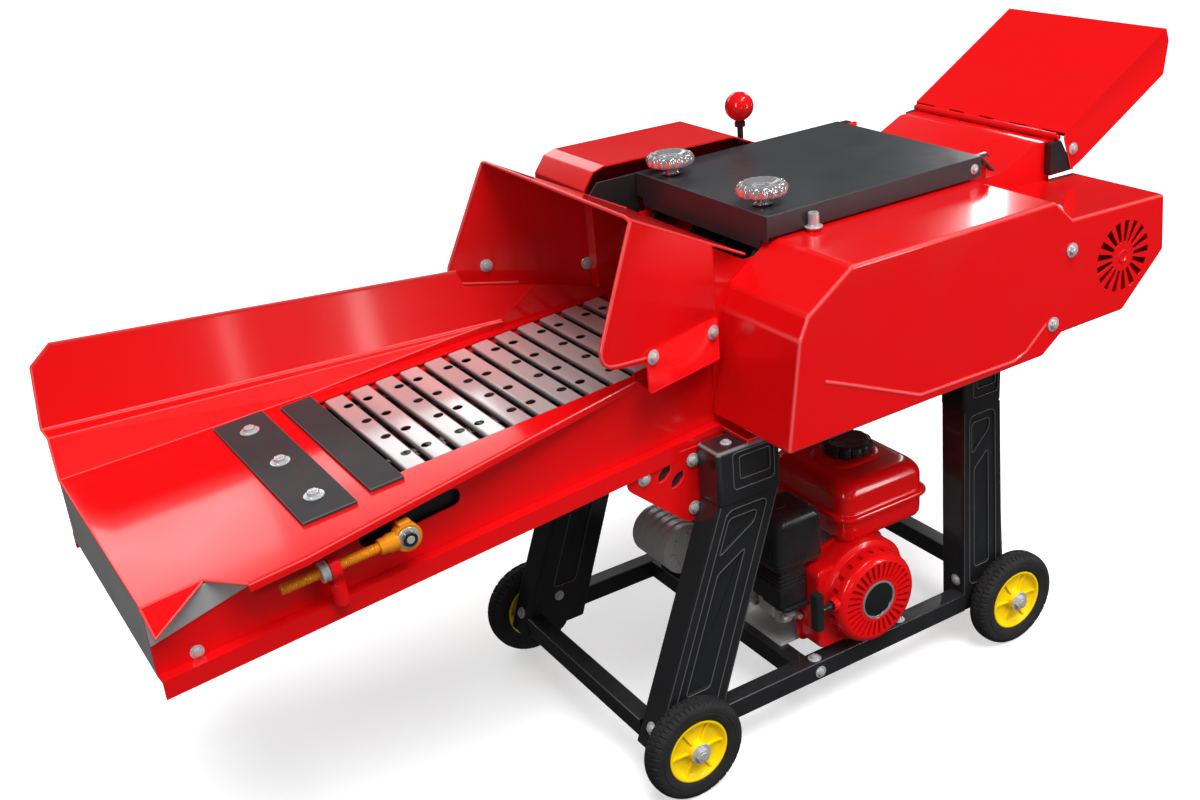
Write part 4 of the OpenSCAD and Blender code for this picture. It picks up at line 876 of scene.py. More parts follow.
def makeNearCover():
    face = covers["nearFace"]
    vent = Vector((covers["vent"][0], face, covers["vent"][1]))
    bm = nodeCopy("near_cover")

    def atVent(e):
        return (middle(e) - vent).length < covers["ventReach"]

    roundEdges(bm, covers["fold"], 5, lambda e: coverFold(e, face, 150) and not atVent(e), 3)
    roundEdges(bm, 0.8, 1, lambda e: e.is_convex and atVent(e) and abs(middle(e).y - face) < 0.1, 40)
    makePiece("nearCover", bm, "redPaint", "frame", ("near_cover",))
    ridge = covers["ridge"]
    crease = sweep([(x, face + 0.6, z) for x, z in covers["crease"]], ridge, (0, -1, 0))
    # painted highlight along the crest of the crease
    paintedHighlightLines(crease, len(ridge), (2, 3), covers["paleRidge"])
    addTo(crease, lathe(covers["dimple"], vent, "Y", 40))
    makePiece("nearCoverPressing", crease, "redPaint", "frame")
    spot = covers["bossSpot"]
    makePiece("nearCoverBoss", lathe(covers["boss"], spot, "Z", 36), "redPaint", "frame")
    makePiece("nearCoverBolt", lathe(covers["bolt"], spot, "Z", 36), "boltSteel", "frame")


def makeFarCover():
    bm = nodeCopy("far_cover")
    roundEdges(bm, covers["fold"], 5, lambda e: coverFold(e, covers["farFace"], 60), 3)
    makePiece("farCover", bm, "redPaint", "frame", ("far_cover",))
    cheek = prism(covers["cheek"], *covers["cheekY"])
    makePiece("farCheek", roundEdges(cheek, 1.0, 2), "blackPaint", "frame")


makeNearCover()
makeFarCover()
print("stage: hood and covers")


# Black top cover with its bent rear edge, and the star knobs; knob points are (radius, height, lobe depth)
topCover = {"front": 74, "rear": 574, "z": 1013, "half": 205, "bendX": 611, "bendZ": 975, "notch": (178, 188)}
knob = {"x": 114, "y": 142, "base": 1013.3, "lobes": 16,
        "foot": [(0, 0), (13, 0), (14.5, 1), (14.5, 3), (11.5, 5), (11, 12), (14, 16), (20, 17.5)],
        "star": [(39, 18, 1.5), (43.5, 19.5, 4), (45.6, 23, 5), (46, 28, 5.2), (45.4, 33, 5), (43, 37, 4.2),
                 (38, 39.6, 2), (33, 39.8), (27, 38), (21, 35.4), (15, 34.2), (11, 36), (6, 36.6), (0, 36.8)],
        "washer": [(0, 0), (17, 0), (18.5, 0.6), (18.5, 1.6), (17, 2.2), (0, 2.2)]}


def makeTopCover():
    bm = nodeCopy("top_cover")
    half, z = topCover["half"], topCover["z"]

    def outer(e):
        spot = middle(e)
        inPlan = abs(abs(spot.y) - half) < 0.1 or abs(spot.x - topCover["front"]) < 0.1
        return e.is_convex and inPlan and (abs(spot.z - z) < 0.1 or abs(heading(e).z) > 0.99)

    roundEdges(bm, 4, 4, outer, 40)
    makePiece("topCover", bm, "coverBlack", "cover", ("top_cover",))
    rear, bendX, bendZ = topCover["rear"], topCover["bendX"], topCover["bendZ"]
    flange = [(rear - 6, z), (rear + 2, z - 0.8), (bendX, bendZ + 3), (bendX - 2, bendZ), (rear - 1, z - 4),
              (rear - 6, z - 3)]
    near, far = topCover["notch"]
    bend = bmesh.new()
    for low, high in ((-half, -far), (-near, near), (far, half)):
        addTo(bend, roundEdges(prism(flange, low, high), 0.8, 2))
    makePiece("topCoverBend", bend, "coverBlack", "cover")


def makeKnob(node, y):
    x = knob["x"]
    star = lathe(knob["foot"] + knob["star"], (x, y, knob["base"]), "Z", 192, knob["lobes"], sharp=0)
    makePiece(node + "Star", star, "chrome", bodyOf[node], (node,), 50)
    washer = lathe(knob["washer"], (x, y, topCover["z"] + 0.1), "Z", 48)
    makePiece(node + "Washer", washer, "blackPlastic", "cover")


makeTopCover()
makeKnob("star_knob_near", -knob["y"])
makeKnob("star_knob_far", knob["y"])


# Lever with its ball
lever = {"x": 349, "y": 237, "ballZ": 1083, "ballR": 29, "ballSteps": 20, "collarZ": 1042,
         "collar": [(6.2, 0), (10, 0), (11, 1), (11, 9), (9.5, 11), (6.2, 11)]}


def makeLever():
    softNode("clutch_lever", "blackPaint", 1.0)
    x, y, r, steps = lever["x"], lever["y"], lever["ballR"], lever["ballSteps"]
    profile = [(0, -r + 2.4), (9, -r + 2.4), (10.5, -r + 1.2)]
    for i in range(4, steps):
        turn = math.pi * i / steps
        profile.append((r * math.sin(turn), -r * math.cos(turn)))
    profile.append((0, r))
    ball = lathe(profile, (x, y, lever["ballZ"]), "Z", 56)
    makePiece("leverBall", ball, "redKnob", "lever", ("lever_ball",))
    collar = lathe(lever["collar"], (x, y, lever["collarZ"]), "Z", 36, closed=True)
    makePiece("leverCollar", collar, "blackPlastic", "lever")


makeLever()


# Outlet: side cheeks and seals of the chute, cheeks of the deflector, and dark strips behind the hinge as
# painted shade in its gaps
outlet = {"hinge": (785, 1003), "angle": math.radians(29.6), "strip": ((10, 44), (-200, 200), (-5, -1)),
          "chute": [(772, 996), (777, 996), (806, 938), (772, 938)], "chuteY": (181, 186),
          "seal": [(760, 996), (787, 998), (826, 934), (760, 934)], "sealY": (186.4, 202.4),
          "cheek": [(791, 1003), (814, 936), (838, 946), (796, 1011)], "cheekY": (203, 206),
          "apron": [(752, 994.8), (776, 994.8), (780, 990.5), (806, 988.5), (806, 985.5), (779, 987.5),
                    (774, 991.8), (752, 991.8)], "apronHalf": 176}


def pairOf(outline, y):
    pair = prism(outline, -y[1], -y[0])
    return addTo(pair, prism(outline, *y))


def makeOutlet():
    softNode("discharge_chute", "redPaint", 0.9)
    softNode("deflector", "redPaint", 0.9)
    chute = pairOf(outlet["chute"], outlet["chuteY"])
    makePiece("chuteCheeks", roundEdges(chute, 0.8, 2), "redPaint", "frame")
    seal = pairOf(outlet["seal"], outlet["sealY"])
    makePiece("chuteSeals", roundEdges(seal, 0.5, 1), "blackPaint", "frame")
    cheek = pairOf(outlet["cheek"], outlet["cheekY"])
    makePiece("deflectorCheeks", roundEdges(cheek, 0.8, 2), "redPaint", "outlet_deflector")
    apron = prism(outlet["apron"], -outlet["apronHalf"], outlet["apronHalf"])
    makePiece("hingeApron", apron, "blackPaint", "frame")
    x, z = outlet["hinge"]
    lay = Matrix.Translation((x, 0, z)) @ Matrix.Rotation(-outlet["angle"], 4, "Y")
    strip = laid(block(*outlet["strip"]), lay)
    makePiece("hingeStrip", roundEdges(strip, 0.5, 1), "blackPaint", "outlet_deflector")


makeOutlet()
softNode("housing_sides", "redPaint", 0.9)
softNode("housing_floor", "redPaint", 0.6)
softNode("base_plate", "redPaint", 1.0)
softNode("shear_bar", "machineSteel", 0.8)
softNode("bearings", "blackPaint", 0.8)
steelNodes = ("rotor_shaft", "rotor_knives", "rotor_pinion", "compound_gear", "arm_pivot_shaft",
              "feed_roller", "crankshaft")
for node in steelNodes:
    softNode(node, "machineSteel", 0.5, 1)
for node in ("rotor_drum", "rotor_pulley", "roller_arms", "engine_pulley"):
    softNode(node, "blackPaint", 0.8, 2)
softNode("v_belt", "beltRubber", 1.0)
print("stage: cutter")


# Frame: legs with pressed pockets, caps with stepped panels, rails with rounded corners
# Panel and pocket corners are (down the leg, across it); cap panels are (left, right, above foot, below top)
legs = {"inner": 212, "legFace": 275, "bend": 7, "depth": 3.4, "slope": 3, "panelRound": 16, "pocketRound": 9,
        "front": [(-101, 546), (27, 546), (-277, 92), (-133, 92)],
        "rear": [(473, 546), (569, 546), (484, 92), (592, 92)],
        "frontOutline": [(-277, 92), (-133, 92), (27, 546), (-101, 546)],
        "rearOutline": [(484, 92), (622, 92), (622, 140), (590, 170), (569, 546), (473, 546)],
        "panel": [(0.035, 0.15), (0.035, 0.84), (0.88, 0.84), (0.88, 0.15)],
        "pockets": [[(0.075, 0.24), (0.075, 0.72), (0.125, 0.72), (0.225, 0.24)],
                    [(0.30, 0.30), (0.225, 0.68), (0.80, 0.68), (0.80, 0.30)]],
        "rim": 1.1, "paleRim": 0.22, "corner": 1.3, "cornerShift": 2.2, "paleCorner": 0.14,
        "capFace": 278, "caps": [(-104, 30), (471, 569)], "capZ": (546, 648), "capRound": 8, "capSlope": 2,
        "capPanel": (0.23, 0.11, 22, 9), "capStep": (0.35, 0.16, 38, 20)}


def legSpot(corners, s, t):
    top = Vector(corners[0]).lerp(Vector(corners[1]), t)
    foot = Vector(corners[2]).lerp(Vector(corners[3]), t)
    return top.lerp(foot, s)


def roundedOutline(points, radius, steps=4):
    result = []
    count = len(points)
    for i in range(count):
        here = Vector(points[i])
        back = Vector(points[i - 1]) - here
        ahead = Vector(points[(i + 1) % count]) - here
        reach = min(radius, back.length * 0.45, ahead.length * 0.45)
        a = here + back.normalized() * reach
        b = here + ahead.normalized() * reach
        for k in range(steps + 1):
            f = k / steps
            result.append(tuple((a.lerp(here, f)).lerp(here.lerp(b, f), f)))
    return result


def insetOutline(points, distance):
    result = []
    count = len(points)
    area = sum(points[i - 1][0] * points[i][1] - points[i][0] * points[i - 1][1] for i in range(count))
    turn = 1 if area > 0 else -1
    for i in range(count):
        a, b, c = Vector(points[i - 1]), Vector(points[i]), Vector(points[(i + 1) % count])
        u = (b - a).normalized() if (b - a).length > 1e-6 else (c - b).normalized()
        v = (c - b).normalized() if (c - b).length > 1e-6 else u
        nu = Vector((-u.y, u.x)) * turn
        nv = Vector((-v.y, v.x)) * turn
        result.append(tuple(b + (nu + nv) * (distance / max(0.4, 1 + nu.dot(nv)))))
    return result


# Loft across y of one outline: each level is (inset, y)
def insetStack(outline, levels):
    bm = bmesh.new()
    rings = []
    for inset, y in levels:
        rings.append([bm.verts.new((p[0], y, p[1])) for p in insetOutline(outline, inset)])
    return skin(bm, rings)


# A pressed recess in a face at y: a tapered tool that leaves a sloped rim
def recess(outline, radius, face, side, near, deep, slope):
    rim = roundedOutline(outline, radius)
    return insetStack(rim, ((-slope * 0.3, side * (face - near)), (slope, side * (face - deep))))


# Fine rounded line along the rim of a recess, with painted highlight
def rimLine(outline, radius, y):
    path = [(p[0], y, p[1]) for p in roundedOutline(outline, radius)]
    return withPaintedHighlight(sweep(path, circle(legs["rim"], 8), (0, 1, 0), True), legs["paleRim"])


def makeLeg(corners, outline, side, rims):
    face, inner, depth, slope = legs["legFace"], legs["inner"], legs["depth"], legs["slope"]
    leg = prism(outline, *sorted((side * inner, side * face)))
    roundEdges(leg, legs["bend"], 4, lambda e: abs(heading(e).y) < 0.1 and abs(heading(e).z) > 0.8, 40)
    panel = [legSpot(corners, s, t) for s, t in legs["panel"]]
    leg = cutAway(leg, recess(panel, legs["panelRound"], face, side, -0.6, depth, slope), "legPanel")
    addTo(rims, rimLine(panel, legs["panelRound"], side * face))
    bend = legs["pocketRound"]
    for spots in legs["pockets"]:
        pocket = [legSpot(corners, s, t) for s, t in spots]
        leg = cutAway(leg, recess(pocket, bend, face, side, depth - 0.6, 2 * depth, slope), "legPocket")
        leg = cutAway(leg, recess(pocket, bend, -inner, -side, -0.6, depth, slope), "legPocket")
        addTo(rims, rimLine(pocket, bend, side * (face - depth)))
        addTo(rims, rimLine(pocket, bend, side * inner))
    # pale lines down the two long corners: painted highlight
    for k, shift in ((0, legs["cornerShift"]), (1, -legs["cornerShift"])):
        top, foot = Vector(corners[k]), Vector(corners[k + 2])
        ends = [top.lerp(foot, f) for f in (0.01, 0.97)]
        edge = [(p.x + shift, side * (face - 0.6), p.y) for p in ends]
        addTo(rims, withPaintedHighlight(sweep(edge, circle(legs["corner"], 8), (0, 1, 0)), legs["paleCorner"]))
    return leg


def capOutline(x0, x1, shape):
    left, right, above, below = shape
    low, high = legs["capZ"][0] + above, legs["capZ"][1] - below
    x0, x1 = x0 + left * (x1 - x0), x1 - right * (x1 - x0)
    return [(x0, low), (x1, low), (x1, high), (x0, high)]


def capEdge(e):
    return abs(heading(e).z) > 0.9 or middle(e).z > legs["capZ"][1] - 1


def makeLegs():
    pressings = bmesh.new()
    rims = bmesh.new()
    for end in ("front", "rear"):
        for side in (-1, 1):
            addTo(pressings, makeLeg(legs[end], legs[end + "Outline"], side, rims))
    makePiece("legPressings", pressings, "legBlack", "frame", ("legs",), 30)
    capPieces = bmesh.new()
    face, slope = legs["capFace"], legs["capSlope"]
    for x0, x1 in legs["caps"]:
        for side in (-1, 1):
            cap = block((x0, x1), tuple(sorted((side * legs["inner"], side * face))), legs["capZ"])
            roundEdges(cap, legs["capRound"], 5, capEdge, 40)
            panel = capOutline(x0, x1, legs["capPanel"])
            step = capOutline(x0, x1, legs["capStep"])
            cap = cutAway(cap, recess(panel, 8, face, side, -0.6, 3, slope), "capPanel")
            addTo(capPieces, cutAway(cap, recess(step, 6, face, side, 2.4, 6, slope), "capStep"))
            addTo(rims, rimLine(panel, 8, side * face))
            addTo(rims, rimLine(step, 6, side * (face - 3)))
    makePiece("legRims", rims, "legBlack", "frame", (), 50)
    makePiece("legCaps", capPieces, "legBlack", "frame", (), 30)


# Gusset plates with leaf-shaped holes and dark plates behind them as painted shade; the hood brackets come
# from the same node
gusset = {"outline": [(-246, 640), (-246, 600), (-136, 503), (-118, 496), (-92, 496), (-92, 640)], "round": 9,
          "y": (207, 212), "top": 700, "back": ((-196, -122), (204, 206.6), (572, 630)),
          "holes": [(-172, 610), (-146, 590)], "holeTurn": math.radians(38), "holeRound": 5,
          "hole": [(-21, -4), (-8, -11), (10, -9), (20, 2), (6, 9), (-11, 6)]}


def makeSupportPlates():
    bm = nodeCopy("support_plates")
    bmesh.ops.delete(bm, geom=[v for v in bm.verts if v.co.z < gusset["top"]], context="VERTS")
    roundEdges(bm, 12, 5, lambda e: abs(heading(e).y) > 0.9 and e.calc_length() < 6 and e.is_convex, 40)
    roundEdges(bm, 0.9, 2, lambda e: e.is_convex, 50)
    cosine, sine = math.cos(gusset["holeTurn"]), math.sin(gusset["holeTurn"])
    for side in (-1, 1):
        low, high = sorted(side * y for y in gusset["y"])
        plate = prism(roundedOutline(gusset["outline"], gusset["round"]), low, high)
        for x, z in gusset["holes"]:
            leaf = [(x + a * cosine - b * sine, z + a * sine + b * cosine) for a, b in gusset["hole"]]
            hole = prism(roundedOutline(leaf, gusset["holeRound"]), low - 4, high + 4)
            plate = cutAway(plate, hole, "gussetHole")
        addTo(bm, roundEdges(plate, 0.8, 2, lambda e: e.is_convex, 50))
    makePiece("supportPlates", bm, "redPaint", "frame", ("support_plates",))
    # painted shade: dark plates behind the leaf holes
    x, y, z = gusset["back"]
    holeShades = block(x, y, z)
    addTo(holeShades, block(x, (-y[1], -y[0]), z))
    makePiece("gussetBacks", roundEdges(holeShades, 0.6, 1), "blackPaint", "frame")


makeSupportPlates()
makeLegs()
for node in ("side_rails", "cross_rails"):
    softNode(node, "blackPaint", 2.2, 3, lambda e: e.is_convex and e.calc_length() > 200, 50)
print("stage: frame")


# Wheels: tyre made of one tread pitch turned round the axle, ribbed rim
# Profile points are (radius, half width); groove and blocks are (from, to, depth) or (to, depth)
wheel = {"tyreR": 100, "pitches": 30, "division": 10, "y": 304, "front": -211, "rear": 585, "ribs": 6,
         "treadR": 90, "groove": (8.0, 9.0, 3.2), "shoulder": (9.2, 16, 2.6), "crown": (7.6, 2.2),
         "tyre": [(63.2, 17.6), (66, 19.2), (70, 20.6), (75, 21.6), (78, 21.9), (79, 21.0), (80, 21.9),
                  (84, 22.0), (88, 21.6), (91, 20.8), (93.5, 19.4), (95.6, 17.6), (97.2, 15.4), (98.3, 12.8),
                  (98.9, 10.4), (99.3, 9.4), (99.4, 8.4), (99.6, 7.4), (99.8, 5.2), (99.9, 3.0), (100, 1.0)],
         "bead": [(63.2, 8), (63.2, -8)],
         "rim": [(8.2, 24), (15, 24), (17, 23.4), (18, 21.5), (19.5, 12), (21.5, 9.4), (26, 8), (44, 7),
                 (50, 8), (54, 11), (56, 15), (57.5, 17.6), (59.5, 18.4), (62, 18), (63, 16.6)],
         "rib": [(19, 6), (19, 15), (30, 12.6), (46, 11.6), (55, 14.5), (56, 10), (50, 6)], "ribHalf": 2.6}


def bothFaces(half):
    return [(r, -y) for r, y in half] + [(r, y) for r, y in reversed(half)]


# Depth of the tread at a profile point: a groove all round, blocks on the shoulders and the crown
def treadDrop(r, y, k):
    reach = abs(y)
    if r <= wheel["treadR"]:
        return 0
    low, high, deep = wheel["groove"]
    if low < reach < high:
        return deep
    inner, outer, deep = wheel["shoulder"]
    cut = 4 if y < 0 else 9
    if reach > inner and (k == cut or (k == (cut + 5) % wheel["division"] and reach < outer)):
        return deep
    width, deep = wheel["crown"]
    if reach < width and k == (2 if y > 0 else 7):
        return deep
    return 0


def tyrePitch():
    profile = bothFaces(wheel["tyre"]) + wheel["bead"]
    step = 2 * math.pi / wheel["pitches"] / wheel["division"]
    bm = bmesh.new()
    rings = []
    for k in range(wheel["division"] + 1):
        ring = []
        for r, y in profile:
            radius = r - treadDrop(r, y, k)
            ring.append(bm.verts.new((radius * math.cos(k * step), y, -radius * math.sin(k * step))))
        rings.append(ring)
    for a, b in zip(rings, rings[1:]):
        for i in range(len(profile)):
            j = (i + 1) % len(profile)
            bm.faces.new((a[i], a[j], b[j], b[i]))
    bmesh.ops.recalc_face_normals(bm, faces=bm.faces)
    return bm


def rimBody(centre):
    bm = lathe(bothFaces(wheel["rim"]), (0, 0, 0), "Y", 96, closed=True)
    rib = bmesh.new()
    for side in (-1, 1):
        fin = prism([(a, side * b) for a, b in wheel["rib"]], -wheel["ribHalf"], wheel["ribHalf"], "Z")
        addTo(rib, roundEdges(fin, 1.0, 2))
    addTo(bm, meshToBm(ringOf(rib, wheel["ribs"], "yellowPaint")))
    return shifted(bm, centre)


for end in ("front", "rear"):
    for side, y in (("near", -wheel["y"]), ("far", wheel["y"])):
        label = end + "_" + side
        body = "wheel_" + label
        centre = (wheel[end], y, wheel["tyreR"])
        tread = ringOf(tyrePitch(), wheel["pitches"], "tyreRubber", centre)
        placeMesh("tyre_" + label + "Tread", tread, "tyreRubber", body, ("tyre_" + label,), 40)
        makePiece("rim_" + label + "Ribbed", rimBody(centre), "yellowPaint", body, ("rim_" + label,), 40)
softNode("stub_axles", "boltSteel", 0.9, 2)
print("stage: wheels")


# Engine. Tank: levels are (inset, corner radius, height); cap points are (radius, height, lobe depth)
tank = {"x": (205, 410), "y": (-240, 0),
        "levels": [(20, 16, 330), (11, 20, 331), (5.5, 22, 334.4), (2.4, 24, 340), (1, 26, 348),
                   (0.4, 26, 378), (-1, 27, 380.6), (-8.4, 33, 382), (-10, 35, 384), (-10, 35, 388),
                   (-8.4, 33, 390.4), (-1, 27, 391.6), (0.6, 26, 394), (1, 26, 424), (2.2, 26, 431),
                   (4.6, 27, 437), (8, 28, 442.4), (12.6, 29, 447), (18, 30, 450), (24, 30, 451.6),
                   (32, 30, 452)],
        "padX": (244, 376), "padY": (-175, -61),
        "pad": [(0, 40, 448), (0.6, 40, 451), (1.6, 39, 452.6), (4, 37, 454.4), (8, 34, 455.4),
                (14, 30, 455.8)],
        "capSpot": (318, -115, 456.2), "capLobes": 12,
        "cap": [(0, 0), (41, 0), (46, 0.6, 2), (49, 2.2, 5), (50, 4.8, 6), (50, 15.8, 6), (49.2, 19.2, 5.6),
                (47, 22, 4), (43, 23.8, 1.5), (39, 24.1), (35, 23), (16, 22.4), (0, 22.4)]}


def makeTank():
    bm = stackedBox(tank["x"], tank["y"], tank["levels"], 8)
    addTo(bm, stackedBox(tank["padX"], tank["padY"], tank["pad"], 8))
    makePiece("fuelTank", bm, "redPaint", "frame", ("fuel_tank",), 45)
    cap = lathe(tank["cap"], tank["capSpot"], "Z", 192, tank["capLobes"], sharp=0.5)
    makePiece("fuelCap", cap, "blackPlastic", "filler_cap", ("fuel_cap",), 50)


# Air filter: box with a parting groove, ribbed neck, latch on top and the tray under it
airFilter = {"x": (42, 153), "y": (-240, -130), "neckX": (52, 118), "neckY": (-232, -138),
             "levels": [(10, 8, 330), (3, 12, 332), (0, 14, 338), (0, 14, 343), (1.5, 13, 344.2),
                        (1.5, 13, 347), (0, 14, 348.2), (0.8, 14, 418), (2.4, 14, 428), (6, 15, 435),
                        (12, 16, 439.4), (20, 16, 441)],
             "neckFoot": [(6, 6, 246), (1, 8, 248), (0, 8, 252), (0, 8, 288)],
             "neckTop": [(0, 8, 330), (4, 8, 334)], "ribs": 4, "ribZ": 290, "ribPitch": 9,
             "rib": [(0.2, 8, 0), (2.6, 7, 2), (2.6, 7, 4.5), (0, 8, 6.5)],
             "latchX": (72, 104), "latchY": (-196, -152),
             "latch": [(2, 5, 439), (0, 6, 440), (0, 6, 442.2), (1.5, 5, 443.2), (6, 4, 443.2)],
             "trayX": (58, 132), "trayY": (-236, -160),
             "tray": [(5, 8, 236), (0, 10, 238), (0, 10, 243), (3, 10, 246.4)]}


def makeFilter():
    box = stackedBox(airFilter["x"], airFilter["y"], airFilter["levels"], 7)
    neck = list(airFilter["neckFoot"])
    for i in range(airFilter["ribs"]):
        z = airFilter["ribZ"] + i * airFilter["ribPitch"]
        neck += [(inset, radius, z + lift) for inset, radius, lift in airFilter["rib"]]
    neck += airFilter["neckTop"]
    addTo(box, stackedBox(airFilter["neckX"], airFilter["neckY"], neck, 6))
    addTo(box, stackedBox(airFilter["latchX"], airFilter["latchY"], airFilter["latch"], 5))
    makePiece("airFilter", box, "blackPlastic", "frame", ("air_filter",), 40)
    dish = stackedBox(airFilter["trayX"], airFilter["trayY"], airFilter["tray"], 5)
    makePiece("filterTray", dish, "blackPlastic", "frame")


# Carburettor: float bowl, two screws and the choke spindle on the CAD body
carburettor = {"bowl": [(0, 196), (12, 196), (17, 199), (19, 204), (19, 222), (21, 224), (21, 228), (0, 228)],
               "bowlSpot": (84, -196, 0), "screwX": 112, "screwZ": (200, 232),
               "screw": [(0, -216), (5, -216), (6, -214), (6, -206), (9, -205), (9, -196), (0, -196)],
               "spindle": [(0, 66), (8, 66), (9, 67), (9, 76), (5, 78), (5, 96), (0, 96)],
               "spindleSpot": (0, -214, 214)}


def makeCarburettor():
    bm = nodeCopy("carburettor")
    roundEdges(bm, 3, 3, lambda e: e.is_convex, 60)
    addTo(bm, lathe(carburettor["bowl"], carburettor["bowlSpot"], "Z", 40))
    for z in carburettor["screwZ"]:
        addTo(bm, lathe(carburettor["screw"], (carburettor["screwX"], 0, z), "Y", 24))
    addTo(bm, lathe(carburettor["spindle"], carburettor["spindleSpot"], "X", 24))
    makePiece("carburettorBody", bm, "castAlloy", "frame", ("carburettor",))


# Blower housing: levels are (inset, y)
blower = {"outline": [(118, 142), (300, 142), (322, 152), (334, 200), (334, 262), (318, 306), (286, 330),
                      (240, 338), (196, 326), (160, 318), (118, 318)],
          "levels": ((0, -200), (0, -254), (1.2, -258), (4, -261), (9, -262)),
          "flange": [(112, 136), (330, 136), (340, 200), (340, 264), (322, 312), (288, 336), (240, 344),
                     (194, 332), (158, 324), (112, 324)],
          "flangeLevels": ((1, -196), (0, -198), (0, -204), (1.5, -206), (7, -206.5)), "round": 22}


def makeBlower():
    bm = insetStack(roundedOutline(blower["outline"], blower["round"], 5), blower["levels"])
    addTo(bm, insetStack(roundedOutline(blower["flange"], blower["round"], 5), blower["flangeLevels"]))
    makePiece("blowerHousing", bm, "redPaint", "frame")


# Recoil cover: slots on its face, vents round its side, rope spout and a bare badge disc
recoil = {"x": 228, "z": 238,
          "disc": [(0, -256), (103, -256), (105, -258), (104, -262), (95, -266), (93, -270), (93, -290),
                   (91.8, -297), (88, -303.4), (82, -307), (77, -308), (42, -308), (40, -307), (39, -305.4),
                   (0, -305.4)],
          "slots": 32, "slotY": (-312, -300),
          "slot": [(46, -2.2), (76, -3.4), (78, -2.4), (78, 2.4), (76, 3.4), (46, 2.2)],
          "vents": 9, "vent": ((83, 97), (-289, -274), (-4.5, 4.5)), "ventSweep": 150,
          "ventStart": math.radians(-205),
          "spout": [(9, 60), (13, 70), (14, 84), (14, 97), (12.5, 99), (9, 99)],
          "spoutY": -287, "spoutZ": 255,
          "well": [(0, -299), (82, -299), (82, -297), (0, -297)],
          "ring": [(35, -305.6), (35, -307.4), (36, -308.6), (38.6, -308.6), (39.6, -307.6), (39.6, -305.6)],
          "badge": [(0, -307.6), (20, -307.4), (33, -306.6), (35.4, -306), (35.4, -305), (0, -305)]}


def makeRecoil():
    centre = (recoil["x"], 0, recoil["z"])
    disc = lathe(recoil["disc"], centre, "Y", 128)
    tools = meshToBm(ringOf(prism(recoil["slot"], *recoil["slotY"]), recoil["slots"], "redPaint", centre))
    vents = ringOf(block(*recoil["vent"]), recoil["vents"], "redPaint", (0, 0, 0), recoil["ventSweep"])
    turn = Matrix.Translation(centre) @ Matrix.Rotation(recoil["ventStart"], 4, "Y")
    addTo(tools, meshToBm(vents), turn)
    disc = cutAway(disc, tools, "recoil")
    spout = lathe(recoil["spout"], (0, 0, 0), "X", 32, closed=True)
    mouth = Matrix.Translation((recoil["x"], recoil["spoutY"], recoil["spoutZ"]))
    addTo(disc, spout, mouth @ Matrix.Rotation(math.pi, 4, "Z"))
    makePiece("recoilCover", disc, "redPaint", "frame", ("recoil_cover",), 40)
    makePiece("recoilWell", lathe(recoil["well"], centre, "Y", 64), "blackPaint", "frame")
    makePiece("badgeRing", lathe(recoil["ring"], centre, "Y", 96, closed=True), "chrome", "frame")
    makePiece("badgeDisc", lathe(recoil["badge"], centre, "Y", 72), "badgeBlack", "frame")


# Starter handle with the straight length of its rope
starter = {"x": 95, "y": -287, "z": 255, "grip": (10, 12),
           "levels": [(4, 5, -40), (1, 6, -38.5), (0, 6, -35), (0.6, 6, -12), (0, 6, 0), (0.6, 6, 12),
                      (0, 6, 35), (1, 6, 38.5), (4, 5, 40)],
           "stem": [(0, 100), (8.5, 100), (9.5, 104), (8, 112), (7, 128), (6.4, 130), (3, 130.5), (3, 300),
                    (0, 300)]}


def makeStarter():
    y, z = starter["y"], starter["z"]
    wide, deep = starter["grip"]
    grip = stackedBox((-wide, wide), (-deep, deep), starter["levels"], 5)
    shifted(grip, (starter["x"], y, z))
    addTo(grip, lathe(starter["stem"], (0, y, z), "X", 32))
    makePiece("starterHandle", grip, "blackPlastic", "starter", ("starter_handle",), 40)


def makeBlock():
    bm = nodeCopy("engine_block")
    roundEdges(bm, 2.2, 2, lambda e: e.is_convex, 60)
    makePiece("engineBlock", bm, "castAlloy", "frame", ("engine_block",))


# Muffler: ribbed can with a bolted end cover and its pipe; profile points are (radius, y)
muffler = {"x": -10, "z": 305, "ribs": 5, "ribY": -10, "ribPitch": 22,
           "end": [(0, -14), (28, -14), (30, -16), (43, -16), (45, -14), (48, -13), (50, -11)],
           "rib": [(52, 0), (52, 12), (49.4, 14), (49.4, 18), (52, 20)],
           "back": [(52, 102), (50, 106), (45, 109), (40, 110), (0, 110)],
           "pipe": [(0, -10), (14, -10), (14, 60), (20, 62), (20, 72), (0, 72)],
           "heads": 8, "headR": 5, "headRing": 36, "headY": (-21, -15)}


def makeMuffler():
    centre = (muffler["x"], 0, muffler["z"])
    profile = list(muffler["end"])
    for i in range(muffler["ribs"]):
        start = muffler["ribY"] + i * muffler["ribPitch"]
        profile += [(r, start + y) for r, y in muffler["rib"]]
    bm = lathe(profile + muffler["back"], centre, "Y", 72)
    addTo(bm, lathe(muffler["pipe"], (0, 0, muffler["z"]), "X", 32))
    head = prism([(muffler["headRing"] + a, b) for a, b in circle(muffler["headR"], 6)], *muffler["headY"])
    addTo(bm, meshToBm(ringOf(roundEdges(head, 0.6, 1), muffler["heads"], "castAlloy", centre)))
    makePiece("mufflerCan", bm, "castAlloy", "frame", ("muffler",), 40)


makeTank()
makeFilter()
makeCarburettor()
makeBlower()
makeRecoil()
makeStarter()
makeBlock()
makeMuffler()
print("stage: engine")


# Bolts with washers, one mesh per body; a spot is (place, way it points, size)
bolt = {"washer": [(0, 0), (13, 0), (13.6, 0.5), (13.6, 1.7), (13, 2.2), (10.6, 2.3), (10.2, 3.0), (0, 3.0)],
        "headR": 8.6, "headZ": (2.6, 7.4), "tip": [(0, 7.0), (5.6, 7.0), (5.6, 7.9), (4.8, 8.4), (0, 8.6)]}


